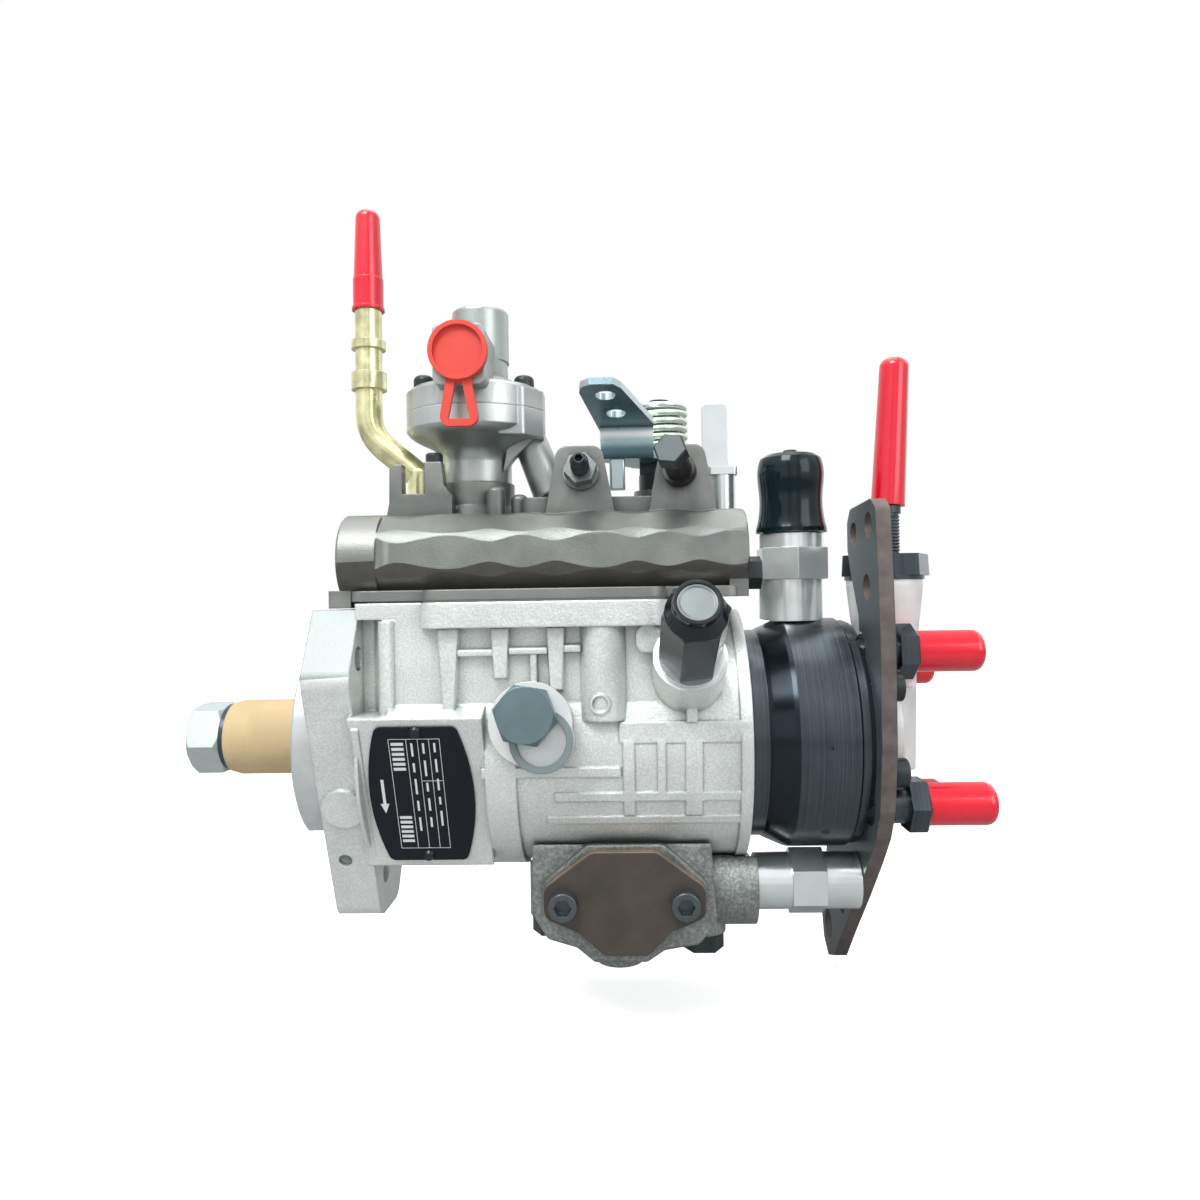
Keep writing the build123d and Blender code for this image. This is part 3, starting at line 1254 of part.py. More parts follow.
PORT = (50.6, 135.8)
with BuildPart() as boost_cover:
    with BuildSketch(Plane.XZ):
        with BuildLine():
            Polyline(
                (BOOST_X, JOINT_Z), (BOOST_X + BOOST_R, JOINT_Z), (BOOST_X + BOOST_R, 127.4),
                (BOOST_X + BOOST_R - 1.6, 129), (BOOST_X + 16.8, 129), (BOOST_X + 15, 132.5),
                (BOOST_X + 12.2, 133.5), (BOOST_X + 12, 141.2), (BOOST_X + 11, 142.2), (BOOST_X, 142.2),
                close=True,
            )
        make_face()
    revolve(axis=Axis((BOOST_X, 0, 0), (0, 0, 1)))
    # spring dome, a little to the rear of the port block
    with BuildSketch(Plane.XY.offset(140)):
        with Locations((BOOST_X + 2, 0)):
            Circle(10.6)
    extrude(amount=19.5)
    fillet(edges().group_by(Axis.Z)[-1], 1.4)
    with BuildSketch(Plane.XZ):
        with Locations((PORT[0] - 0.2, PORT[1] - 0.6)):
            RectangleRounded(18, 21, 2.5)
    extrude(amount=33)
    with BuildSketch(Plane.XY.offset(JOINT_Z)):
        with BuildLine():
            Polyline((62, -20), (71, -18.5), (77.4, -9), (76, 2), (62, 0), close=True)
        make_face()
        fillet(vertices().sort_by(Axis.X)[-3:], 2)
    extrude(amount=7)
    with BuildSketch(Plane.XZ.offset(33)):
        with Locations(PORT):
            Circle(5.5)
    extrude(amount=-24, mode=Mode.SUBTRACT)
    with BuildSketch(Plane.XY.offset(JOINT_Z)):
        with Locations((BOOST_X, 0)):
            Circle(18)
    extrude(amount=6, mode=Mode.SUBTRACT)
    with BuildSketch(Plane.XY.offset(JOINT_Z)):
        with Locations((BOOST_X, 0)):
            Circle(7)
    extrude(amount=36, mode=Mode.SUBTRACT)
    with BuildSketch(Plane.XY.offset(JOINT_Z)):
        with Locations(*BOOST_SCREWS):
            Circle(2.2)
    extrude(amount=16, mode=Mode.SUBTRACT)
boost_cover.part.label = "boost_cover"
export_step(boost_cover.part, "parts/boost_cover.step")

with BuildPart() as boost_screws:
    with BuildSketch(Plane.XY.offset(129)):
        with Locations(*BOOST_SCREWS):
            Circle(3.7)
    extrude(amount=4)
    fillet(edges().group_by(Axis.Z)[-1], 2)
    with BuildSketch(Plane.XY.offset(129)):
        with Locations(*BOOST_SCREWS):
            Circle(2)
    extrude(amount=-15.5)
boost_screws.part.label = "boost_screws"
export_step(boost_screws.part, "parts/boost_screws.step")

with BuildPart() as boost_diaphragm:
    with BuildSketch(Plane.XY.offset(116)):
        with Locations((BOOST_X, 0)):
            Circle(17.4)
    extrude(amount=1.2)
    with BuildSketch(Plane.XY.offset(117.2)):
        with Locations((BOOST_X, 0)):
            Circle(12)
    extrude(amount=1.6)
    with BuildSketch(Plane.XY.offset(62)):
        with Locations((BOOST_X, 0)):
            Circle(3)
    extrude(amount=58)
boost_diaphragm.part.label = "boost_diaphragm"
export_step(boost_diaphragm.part, "parts/boost_diaphragm.step")

with BuildPart() as boost_port_cap:
    with BuildSketch(Plane.XZ.offset(33.05)):
        with Locations(PORT):
            Circle(10.2)
        # pull tab: a loop that widens downwards
        with BuildLine():
            Polyline((46.6, 128), (43.4, 110), (57.8, 110), (54.6, 128), close=True)
        make_face()
        fillet(vertices().group_by(Axis.Y)[0], 3.4)
        with BuildLine():
            Polyline((49.4, 125), (46.9, 112.6), (54.3, 112.6), (51.8, 125), close=True)
        make_face(mode=Mode.SUBTRACT)
    extrude(amount=1.8)
    with BuildSketch(Plane.XZ.offset(33)):
        with Locations(PORT):
            Circle(10.2)
            Circle(8.6, mode=Mode.SUBTRACT)
    extrude(amount=3.4)
    with BuildSketch(Plane.XZ.offset(33.1)):
        with Locations(PORT):
            Circle(5.45)
    extrude(amount=-8)
boost_port_cap.part.label = "boost_port_cap"
export_step(boost_port_cap.part, "parts/boost_port_cap.step")

# ------------------------------------------------------------------ return pipe
PIPE_TOP = Plane(origin=(PIPE_X + 0.316, 0, 162.2), x_dir=(1, 0, -0.0081), z_dir=(0.0081, 0, 1))
with BuildPart() as return_pipe:
    with BuildLine() as route:
        line_a = Line((PIPE_X + 0.6, 0, 194), (PIPE_X, 0, 122))
        line_b = Line((17.6, 0, 107.6), (29, 0, 98))
        bend = Spline(line_a @ 1, line_b @ 0, tangents=(line_a % 1, line_b % 0))
    with BuildSketch(Plane(origin=line_a @ 0, z_dir=line_a % 0)):
        Circle(PIPE_R)
    sweep(path=Wire([line_a, bend, line_b]))
    with BuildSketch(PIPE_TOP.offset(10.4)):
        Circle(12)
        Circle(3.6, mode=Mode.SUBTRACT)
    extrude(amount=30, mode=Mode.SUBTRACT)
    for z0, z1, r in ((131.0, 137.5, 6.6), (146.4, 149.6, 6.4)):
        with BuildSketch(Plane.XY.offset(z0)):
            with Locations((PIPE_X + 0.2, 0)):
                Circle(r)
        extrude(amount=z1 - z0)
    # end piece standing in the cover
    with BuildSketch(Plane.XY.offset(COVER_TOP_Z)):
        with Locations((30, 0)):
            Circle(5.6)
    extrude(amount=22)
    fillet(edges().filter_by(GeomType.CIRCLE).filter_by_position(Axis.Z, 100.9, 101.1), 2)
    with BuildSketch(Plane.XY.offset(COVER_TOP_Z)):
        with Locations((30, 0)):
            Circle(4.5)
    extrude(amount=-5.5)
return_pipe.part.label = "return_pipe"
export_step(return_pipe.part, "parts/return_pipe.step")

with BuildPart() as return_cap:
    with BuildSketch(PIPE_TOP.offset(-1)):
        Circle(5.7)
    extrude(amount=12)
    with BuildSketch(PIPE_TOP.offset(-1)):
        Circle(6.1)
    extrude(amount=1.2)
    with BuildSketch(PIPE_TOP.offset(11)):
        Circle(5.4)
    extrude(amount=26, taper=2.0)
    fillet(edges().group_by(Axis.Z)[-1], 3)
    with BuildSketch(PIPE_TOP.offset(-1)):
        Circle(PIPE_R + 0.1)
    extrude(amount=11.5, mode=Mode.SUBTRACT)
    with BuildSketch(PIPE_TOP):
        Circle(3.7)
    extrude(amount=33.4, mode=Mode.SUBTRACT)
return_cap.part.label = "return_cap"
export_step(return_cap.part, "parts/return_cap.step")

# ------------------------------------------------------------------ throttle
LEVER_Z = 103.6
ARM = Plane(origin=(108, 3.2, 115.2), x_dir=(1, 0, 0), z_dir=(0, -sin(radians(12)), -cos(radians(12))))
with BuildPart() as throttle_shaft:
    with BuildSketch(Plane.XY.offset(62)):
        with Locations((THROTTLE_X, THROTTLE_Y)):
            Circle(5)
    extrude(amount=36.9)
    with BuildSketch(Plane.XY.offset(93.05)):
        with Locations((THROTTLE_X, THROTTLE_Y)):
            Circle(8.4)
    extrude(amount=6.4)
    with BuildSketch(Plane.XY.offset(99.4)):
        with Locations((THROTTLE_X, THROTTLE_Y)):
            RegularPolygon(7.2, 6, major_radius=False, rotation=12)
    extrude(amount=LEVER_Z - 99.45)
    with BuildSketch(Plane.XY.offset(98.9)):
        with Locations((THROTTLE_X, THROTTLE_Y)):
            Circle(4)
    extrude(amount=30.4)
throttle_shaft.part.label = "throttle_shaft"
export_step(throttle_shaft.part, "parts/throttle_shaft.step")

with BuildPart() as throttle_lever:
    with BuildSketch(Plane.XY.offset(LEVER_Z)):
        with BuildLine():
            Polyline((98, 2), (118, 2), (130, 18), (130, 28), (112, 30), (98, 10), close=True)
        make_face()
        fillet(vertices().group_by(Axis.Y)[-1] + vertices().sort_by(Axis.X)[-2:], 3)
        with Locations((THROTTLE_X, THROTTLE_Y)):
            Circle(4.02, mode=Mode.SUBTRACT)
    extrude(amount=3.4)
    # stop block under the plate
    with BuildSketch(Plane.XY.offset(92.4)):
        with Locations((104, 6.4)):
            RectangleRounded(6, 6.4, 1)
    extrude(amount=LEVER_Z - 92)
    with BuildSketch(Plane.XZ.offset(-5)):
        with BuildLine():
            Polyline((98, LEVER_Z), (118, LEVER_Z), (118, 116.2), (97.6, 116.2), close=True)
        make_face()
    extrude(amount=3)
    with BuildSketch(ARM):
        with BuildLine():
            Polyline((-10.4, -2.4), (10, -2.4), (10, 4), (-2, 35), (-4.8, 38.5), (-13, 38.5), (-16, 36), (-16.6, 32))
            Line((-16.6, 32), (-10.4, -2.4))
        make_face()
        with Locations((-7.6, 29.5), (-4, 14)):
            Circle(3.6, mode=Mode.SUBTRACT)
    extrude(amount=-2.6)
throttle_lever.part.label = "throttle_lever"
export_step(throttle_lever.part, "parts/throttle_lever.step")

with BuildPart() as lever_nut:
    with BuildSketch(Plane.XY.offset(LEVER_Z + 3.4)):
        with Locations((THROTTLE_X, THROTTLE_Y)):
            RegularPolygon(6.5, 6, major_radius=False)
            Circle(4.02, mode=Mode.SUBTRACT)
    extrude(amount=5)
lever_nut.part.label = "lever_nut"
export_step(lever_nut.part, "parts/lever_nut.step")

with BuildPart() as throttle_spring:
    with BuildSketch(Plane.XY.offset(LEVER_Z + 3.4)):
        with Locations((THROTTLE_X, THROTTLE_Y)):
            Circle(10.8)
            Circle(8.6, mode=Mode.SUBTRACT)
    extrude(amount=18.4)
    with BuildSketch(Plane.XY.offset(LEVER_Z + 21.8)):
        with Locations((THROTTLE_X, THROTTLE_Y)):
            Circle(11.2)
            Circle(4.3, mode=Mode.SUBTRACT)
    extrude(amount=1.8)
throttle_spring.part.label = "throttle_spring"
export_step(throttle_spring.part, "parts/throttle_spring.step")

with BuildPart() as spring_post:
    with BuildSketch(Plane.XY.offset(COVER_TOP_Z + 2)):
        with Locations((POST_X - 0.6, POST_Y)):
            Circle(5.4)
    extrude(amount=16)
    with BuildSketch(Plane.XY.offset(97)):
        with Locations((POST_X - 0.6, POST_Y)):
            RectangleRounded(11.4, 11, 1.5)
    extrude(amount=3)
    with BuildSketch(Plane.XZ.offset(-POST_Y - 1.5)):
        with Locations((POST_X - 3, 111.5)):
            RectangleRounded(9.6, 26, 1.5)
    extrude(amount=3)
    with BuildSketch(Plane.XY.offset(COVER_TOP_Z + 2)):
        with Locations((POST_X - 0.6, POST_Y)):
            Circle(3)
    extrude(amount=-7.5)
spring_post.part.label = "spring_post"
export_step(spring_post.part, "parts/spring_post.step")

# ------------------------------------------------------------------ small parts of the near side
LOCK_TOP = 9.4
SPACER_T = 1.9
with BuildPart() as lock_screw:
    # hexagon head with a turned top edge
    with BuildSketch(LOCK.offset(LOCK_TOP - 1.6)):
        with Locations(LOCK_AT):
            RegularPolygon(9, 6, major_radius=False, rotation=-10)
    extrude(amount=1.6)
    with BuildSketch(LOCK.offset(LOCK_TOP - 1.6)):
        with Locations(LOCK_AT):
            Circle(10.4)
    extrude(amount=1.6, taper=42, mode=Mode.INTERSECT)
    with BuildSketch(LOCK.offset(SPACER_T)):
        with Locations(LOCK_AT):
            RegularPolygon(9, 6, major_radius=False, rotation=-10)
    extrude(amount=LOCK_TOP - 1.6 - SPACER_T)
    with BuildSketch(LOCK.offset(SPACER_T)):
        with Locations(LOCK_AT):
            Circle(4)
    extrude(amount=-20)
lock_screw.part.label = "lock_screw"
export_step(lock_screw.part, "parts/lock_screw.step")

with BuildPart() as lock_spacer:
    # keyhole plate: a narrow rim round the lobe, full width under the screw
    with BuildSketch(LOCK):
        with Locations(LOBE_AT):
            Circle(10.3)
        with Locations(LOCK_AT):
            Circle(8.6)
        with Locations(LOBE_AT):
            Circle(8, mode=Mode.SUBTRACT)
        with Locations(LOCK_AT):
            Circle(4.1, mode=Mode.SUBTRACT)
    extrude(amount=SPACER_T)
lock_spacer.part.label = "lock_spacer"
export_step(lock_spacer.part, "parts/lock_spacer.step")

with BuildPart() as adaptor_washer:
    with BuildSketch(TEST):
        Circle(10.9)
        Circle(6.22, mode=Mode.SUBTRACT)
    extrude(amount=1.6)
adaptor_washer.part.label = "adaptor_washer"
export_step(adaptor_washer.part, "parts/adaptor_washer.step")

with BuildPart() as test_adaptor:
    with BuildSketch(TEST.offset(1.6)):
        RegularPolygon(9, 6, major_radius=False, rotation=8)
    extrude(amount=28)
    with BuildSketch(TEST.offset(29.6)):
        Circle(9.4)
    extrude(amount=4.4, taper=24)
    with BuildSketch(TEST.offset(34)):
        Circle(7.2)
    extrude(amount=2.3)
    with BuildSketch(TEST.offset(1.6)):
        Circle(6.18)
    extrude(amount=-16)
    with BuildSketch(TEST.offset(36.3)):
        Circle(6)
    extrude(amount=-7, mode=Mode.SUBTRACT)
test_adaptor.part.label = "test_adaptor"
export_step(test_adaptor.part, "parts/test_adaptor.step")

with BuildPart() as test_plug:
    with BuildSketch(TEST.offset(29.3)):
        Circle(5.98)
    extrude(amount=6.3)
test_plug.part.label = "test_plug"
export_step(test_plug.part, "parts/test_plug.step")

with BuildPart() as rating_plate:
    with BuildSketch(SEAT):
        with BuildLine():
            ThreePointArc((-13.2, 26.2), (-17.6, 0), (-13.2, -26.2))
            Line((-13.2, -26.2), (13.2, -26.2))
            ThreePointArc((13.2, -26.2), (17.6, 0), (13.2, 26.2))
            Line((13.2, 26.2), (-13.2, 26.2))
        make_face()
        fillet(vertices(), 2.5)
        with Locations((0, RIVET_Y), (0, -RIVET_Y)):
            Circle(1.24, mode=Mode.SUBTRACT)
    extrude(amount=0.7)
rating_plate.part.label = "rating_plate"
export_step(rating_plate.part, "parts/rating_plate.step")

with BuildPart() as plate_rivets:
    with BuildSketch(SEAT.offset(0.7)):
        with Locations((0, RIVET_Y), (0, -RIVET_Y)):
            Circle(2.1)
    extrude(amount=0.9, taper=30)
    with BuildSketch(SEAT.offset(0.7)):
        with Locations((0, RIVET_Y), (0, -RIVET_Y)):
            Circle(1.2)
    extrude(amount=-5)
plate_rivets.part.label = "plate_rivets"
export_step(plate_rivets.part, "parts/plate_rivets.step")
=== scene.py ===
import bpy
import math
from mathutils import Matrix, Vector


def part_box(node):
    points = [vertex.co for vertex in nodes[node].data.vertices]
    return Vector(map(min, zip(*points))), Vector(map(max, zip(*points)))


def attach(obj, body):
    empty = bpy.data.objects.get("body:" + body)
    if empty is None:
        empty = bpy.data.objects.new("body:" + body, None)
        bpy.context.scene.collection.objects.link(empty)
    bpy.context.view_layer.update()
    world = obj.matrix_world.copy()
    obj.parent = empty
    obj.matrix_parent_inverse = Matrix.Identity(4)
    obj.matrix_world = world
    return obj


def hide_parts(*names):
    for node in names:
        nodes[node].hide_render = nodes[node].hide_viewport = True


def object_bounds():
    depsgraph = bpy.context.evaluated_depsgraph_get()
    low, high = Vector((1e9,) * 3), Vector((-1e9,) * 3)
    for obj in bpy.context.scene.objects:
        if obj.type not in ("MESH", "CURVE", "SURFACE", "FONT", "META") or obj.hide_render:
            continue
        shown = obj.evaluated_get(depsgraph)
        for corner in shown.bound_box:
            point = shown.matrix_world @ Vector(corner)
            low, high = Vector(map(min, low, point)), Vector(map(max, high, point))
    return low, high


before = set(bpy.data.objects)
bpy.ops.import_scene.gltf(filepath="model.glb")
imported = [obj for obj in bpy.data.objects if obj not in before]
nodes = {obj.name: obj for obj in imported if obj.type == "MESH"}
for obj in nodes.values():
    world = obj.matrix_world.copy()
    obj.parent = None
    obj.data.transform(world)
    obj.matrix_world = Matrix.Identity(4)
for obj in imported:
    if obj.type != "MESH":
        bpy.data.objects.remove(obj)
size_before = [list(v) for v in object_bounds()]
MM = 0.001
TOUCH = 0.01         # mm, play in the tests that pick faces by their place


def rgb(red, green, blue):
    """An sRGB colour, 0 to 255, as linear values."""
    out = []
    for c in (red, green, blue):
        c = c / 255
        out.append(c / 12.92 if c <= 0.04045 else ((c + 0.055) / 1.055) ** 2.4)
    return (*out, 1.0)


def grey(value, tint=(1, 1, 1)):
    """A linear grey of that brightness, or a tinted one."""
    return (value * tint[0], value * tint[1], value * tint[2], 1)


# ---------------------------------------------------------------- shader helpers
def add(tree, kind, values=None):
    """A shader node of that kind, with values for its sockets."""
    node = tree.nodes.new("ShaderNode" + kind)
    for socket, value in (values or {}).items():
        node.inputs[socket].default_value = value
    return node


def noise(tree, where, scale, detail, roughness=0.5):
    """Noise at a place in metres; scale is its features per metre."""
    node = add(tree, "TexNoise", {"Scale": scale, "Detail": detail, "Roughness": roughness})
    tree.links.new(where, node.inputs["Vector"])
    return node.outputs[0]


def rescaled(tree, value, low, high, to_low=0.0, to_high=1.0):
    """A value moved from low..high to to_low..to_high."""
    node = add(tree, "MapRange", {"From Min": low, "From Max": high, "To Min": to_low, "To Max": to_high})
    tree.links.new(value, node.inputs["Value"])
    return node.outputs[0]


def ramp(tree, factor, stops, smooth=False):
    """A colour for the factor, from stops of (position, colour)."""
    node = add(tree, "ValToRGB")
    if smooth:
        node.color_ramp.interpolation = "EASE"
    elements = node.color_ramp.elements
    for element, (position, colour) in zip(elements, (stops[0], stops[-1])):
        element.position = position
        element.color = colour
    for position, colour in stops[1:-1]:
        elements.new(position).color = colour
    tree.links.new(factor, node.inputs[0])
    return node.outputs[0]


def multiplied(tree, first, other):
    node = add(tree, "MixRGB", {0: 1})
    node.blend_type = "MULTIPLY"
    tree.links.new(first, node.inputs[1])
    tree.links.new(other, node.inputs[2])
    return node.outputs[0]


def varied(tree, colour, value, low, high, amount):
    """The colour, darker by the amount where the value is low and lighter where it is high."""
    return multiplied(tree, colour, ramp(tree, value, [(low, grey(1 - amount)), (high, grey(1 + amount))]))


def bumped(tree, height, normal, strength, depth):
    """The normal, bent by a height map that is depth mm deep."""
    node = add(tree, "Bump", {"Strength": strength, "Distance": depth * MM})
    tree.links.new(height, node.inputs["Height"])
    if normal:
        tree.links.new(normal, node.inputs["Normal"])
    return node.outputs[0]


def switched(tree, switch, off, on):
    """One shader or the other, by a switch of the light path."""
    node = add(tree, "MixShader")
    tree.links.new(switch, node.inputs[0])
    tree.links.new(off, node.inputs[1])
    tree.links.new(on, node.inputs[2])
    return node.outputs[0]


# ---------------------------------------------------------------- parts of a finish
RAYS = 4                     # of the nodes that round edges and darken corners
BLOTCH = (0.34, 0.66)        # noise values where a blotch is darkest and lightest
GRAIN_DEPTH = 0.25           # mm
SPARKLE = (0.42, 0.66)       # the same for the colour of grain, and of lines
STREAK = (0.38, 0.62)
LINES_STRENGTH = 0.6
RUBBED = (0.52, 0.62)        # pointiness from a flat face to a rubbed edge
CORNER = (0.25, 0.9)         # occlusion from a shaded corner to an open face, for painted shade
CORNER_REACH = 5.0           # mm
COAT_ROUGH = 0.06


def painted_light_by_height(tree, where, light_heights):
    """Painted highlight and shade: a colour that changes with the height on the object."""
    low, high = light_heights[0][0], light_heights[-1][0]
    split = add(tree, "SeparateXYZ")
    tree.links.new(where, split.inputs[0])
    stops = [((z - low) / (high - low), colour) for z, colour in light_heights]
    return ramp(tree, rescaled(tree, split.outputs["Z"], low * MM, high * MM), stops, smooth=True)


def rounded_edges(tree, radius):
    node = add(tree, "Bevel", {"Radius": radius * MM})
    node.samples = RAYS
    return node.outputs[0]


def worn(tree, tint, colour, amount):
    """The tint, mixed with the colour of rubbed metal on outer edges."""
    shape = add(tree, "NewGeometry")
    node = add(tree, "MixRGB", {2: colour})
    tree.links.new(rescaled(tree, shape.outputs["Pointiness"], *RUBBED, 0.0, amount), node.inputs[0])
    tree.links.new(tint, node.inputs[1])
    return node.outputs[0]


def shade_corners(tree, tint, amount):
    """The tint, darker in corners: painted shade."""
    node = add(tree, "AmbientOcclusion", {"Distance": CORNER_REACH * MM})
    node.samples = RAYS
    return multiplied(tree, tint, rescaled(tree, node.outputs["AO"], *CORNER, 1 - amount, 1.0))


def material(
    name, colour, rough=0.4, metal=0.0, coat=0.0, spec=0.5, rough_var=0.08, bevel=0.4,
    blotch=0.06, blotch_mm=9.0, grain=0.0, grain_mm=0.9, sparkle=0.0,
    lines=None, lines_depth=0.02, streak=0.0, wear=None, wear_amount=0.5, corner_shade=0.0, light_heights=None,
):
    """A procedural finish in the object's own coordinates.

    rough, metal, coat, spec: values of the shader; rough_var is how far the roughness varies.
    bevel: radius in mm by which edges look rounded.
    blotch, blotch_mm: strength and size of large soft blotches.
    grain, grain_mm, sparkle: bump strength and size of cast grain, and how far its colour varies.
    lines, lines_depth, streak: turning or rolling marks as noise scales in x, y and z, their depth in mm,
        and how far their colour varies.
    wear, wear_amount, corner_shade: colour and strength of rubbed edges, and strength of the painted shade in
    corners.
    light_heights: (z in mm, colour) pairs of painted highlight and shade, in place of the blotched colour.
    """
    finish = bpy.data.materials.new(name)
    finish.use_nodes = True
    tree = finish.node_tree
    tree.nodes.clear()
    out = add(tree, "OutputMaterial")
    shader = add(tree, "BsdfPrincipled", {
        "Metallic": metal, "Coat Weight": coat, "Coat Roughness": COAT_ROUGH, "Specular IOR Level": spec})
    tree.links.new(shader.outputs[0], out.inputs[0])
    where = add(tree, "TexCoord").outputs["Object"]

    blotches = noise(tree, where, scale=1000 / blotch_mm, detail=5)
    darkest = tuple(c * (1 - blotch) for c in colour[:3]) + (1,)
    lightest = tuple(min(1, c * (1 + blotch)) for c in colour[:3]) + (1,)
    tint = ramp(tree, blotches, [(BLOTCH[0], darkest), (BLOTCH[1], lightest)])
    # painted highlight and shade by height replace the blotched colour
    if light_heights:
        tint = painted_light_by_height(tree, where, light_heights)
    smoothest, roughest = max(0.02, rough - rough_var), min(1, rough + rough_var)
    tree.links.new(rescaled(tree, blotches, 0, 1, smoothest, roughest), shader.inputs["Roughness"])

    normal = rounded_edges(tree, bevel) if bevel else None
    if grain:
        grains = noise(tree, where, scale=1000 / grain_mm, detail=3, roughness=0.6)
        normal = bumped(tree, grains, normal, min(1, grain), GRAIN_DEPTH)
        if sparkle:
            tint = varied(tree, tint, grains, *SPARKLE, sparkle)
    if lines:
        stretched = add(tree, "Mapping", {"Scale": lines})
        tree.links.new(where, stretched.inputs["Vector"])
        marks = noise(tree, stretched.outputs[0], scale=1, detail=4)
        normal = bumped(tree, marks, normal, LINES_STRENGTH, lines_depth)
        if streak:
            tint = varied(tree, tint, marks, *STREAK, streak)
    if wear:
        tint = worn(tree, tint, wear, wear_amount)
    # painted shade: occlusion darkens the colour in corners
    if corner_shade:
        tint = shade_corners(tree, tint, corner_shade)

    tree.links.new(tint, shader.inputs["Base Color"])
    if normal:
        tree.links.new(normal, shader.inputs["Normal"])
        if coat:
            tree.links.new(normal, shader.inputs["Coat Normal"])
    return finish


# ---------------------------------------------------------------- finishes
ALU = material(
    "cast_aluminium", rgb(230, 235, 232), rough=0.38, metal=0.58, grain=0.75, grain_mm=0.75, bevel=1.1,
    corner_shade=0.5, wear=rgb(236, 238, 236), wear_amount=0.35, blotch_mm=14, sparkle=0.1)
# painted shade: a darker, rougher copy of the aluminium for the flange edge
FLANGE_EDGE_SHADED = material(
    "flange_edge_painted_shade", rgb(150, 157, 156), rough=0.5, metal=0.5, grain=0.25, grain_mm=0.7, bevel=0.6)
TURNED = material(
    "turned_aluminium", rgb(204, 208, 209), rough=0.3, metal=0.6, lines=(3000, 60, 60), bevel=0.3, corner_shade=0.2)
MACHINED = material(
    "machined_face", rgb(222, 226, 226), rough=0.34, metal=0.4, lines=(500, 500, 500), bevel=0.3)
COVER = material(
    "cover_casting", rgb(122, 126, 123), rough=0.4, metal=0.65, grain=0.35, grain_mm=0.6, bevel=0.7,
    corner_shade=0.5, wear=rgb(166, 166, 162), wear_amount=0.5, blotch=0.13, blotch_mm=13)
# painted shade: a darker copy of the cover casting for the down-facing lower band of the rail
COVER_SHADED_BAND = material(
    "cover_painted_shade_band", rgb(92, 90, 86), rough=0.36, metal=0.7, grain=0.3, grain_mm=0.6, bevel=0.5,
    corner_shade=0.3, blotch=0.12, blotch_mm=10)
BOOST = material(
    "boost_casting", rgb(172, 178, 176), rough=0.32, metal=0.78, grain=0.3, grain_mm=0.5, bevel=0.8,
    corner_shade=0.35, wear=rgb(215, 218, 218), blotch_mm=9)
BRIGHT = material(
    "bright_aluminium", rgb(246, 248, 247), rough=0.36, metal=0.25, grain=0.25, grain_mm=0.6, bevel=0.8,
    corner_shade=0.25)
BLACK = material(
    "black_oxide", rgb(70, 78, 84), rough=0.25, metal=0.8, lines=(2300, 8, 8), lines_depth=0.05,
    bevel=0.12, blotch=0.05, rough_var=0.03, spec=0.8, streak=0.2)
# painted shade: a darker copy of the black oxide for the head's cone
HEAD_CONE_SHADED = material(
    "black_oxide_cone_painted_shade", rgb(34, 42, 48), rough=0.2, metal=0.8, bevel=0.3, blotch=0.05, rough_var=0.03,
    spec=0.7)
GLOSS = material(
    "black_adaptor", rgb(24, 31, 38), rough=0.16, metal=0.6, bevel=0.5, coat=0.25, blotch=0.2, spec=0.6)
PLUG = material("plug_face", rgb(118, 125, 125), rough=0.36, metal=0.7, grain=0.1, bevel=0.3)
SCREW = material("black_screw", rgb(52, 60, 62), rough=0.4, metal=0.5, grain=0.15, bevel=0.35, blotch=0.15)
SOCKET = material(
    "socket_screw", rgb(84, 92, 95), rough=0.34, metal=0.65, grain=0.12, bevel=0.35, blotch=0.12)
BLUEGREY = material("lock_screw_steel", rgb(104, 124, 128), rough=0.36, metal=0.6, grain=0.12, bevel=0.5)
SPACER = material(
    "spacer_steel", rgb(134, 148, 148), rough=0.4, metal=0.6, grain=0.3, grain_mm=0.6, bevel=0.4)
ZINC = material(
    "zinc_plate", rgb(222, 229, 229), rough=0.22, metal=0.8, grain=0.08, grain_mm=2, bevel=0.35, blotch=0.05)
NUT = material("shaft_nut_zinc", rgb(188, 198, 196), rough=0.36, metal=0.6, grain=0.1, grain_mm=2, bevel=0.6)
UNION = material(
    "union_plate", rgb(240, 245, 243), rough=0.24, metal=0.65, grain=0.08, grain_mm=2, bevel=0.35)
YELLOW = material(
    "yellow_zinc", rgb(222, 218, 172), rough=0.26, metal=0.9, bevel=0.3, blotch=0.22, blotch_mm=6, grain=0.08)
SPRING = material("spring_wire", rgb(216, 230, 212), rough=0.26, metal=0.6, bevel=0)
LEVER = material(
    "lever_plate", rgb(186, 200, 203), rough=0.24, metal=0.85, grain=0.06, grain_mm=3, bevel=0.3)
# painted shade: a darker copy of the lever plate for the underside of its arm
LEVER_UNDER_SHADED = material(
    "lever_underside_painted_shade", rgb(108, 138, 146), rough=0.26, metal=0.7, grain=0.06, grain_mm=3, bevel=0.3)
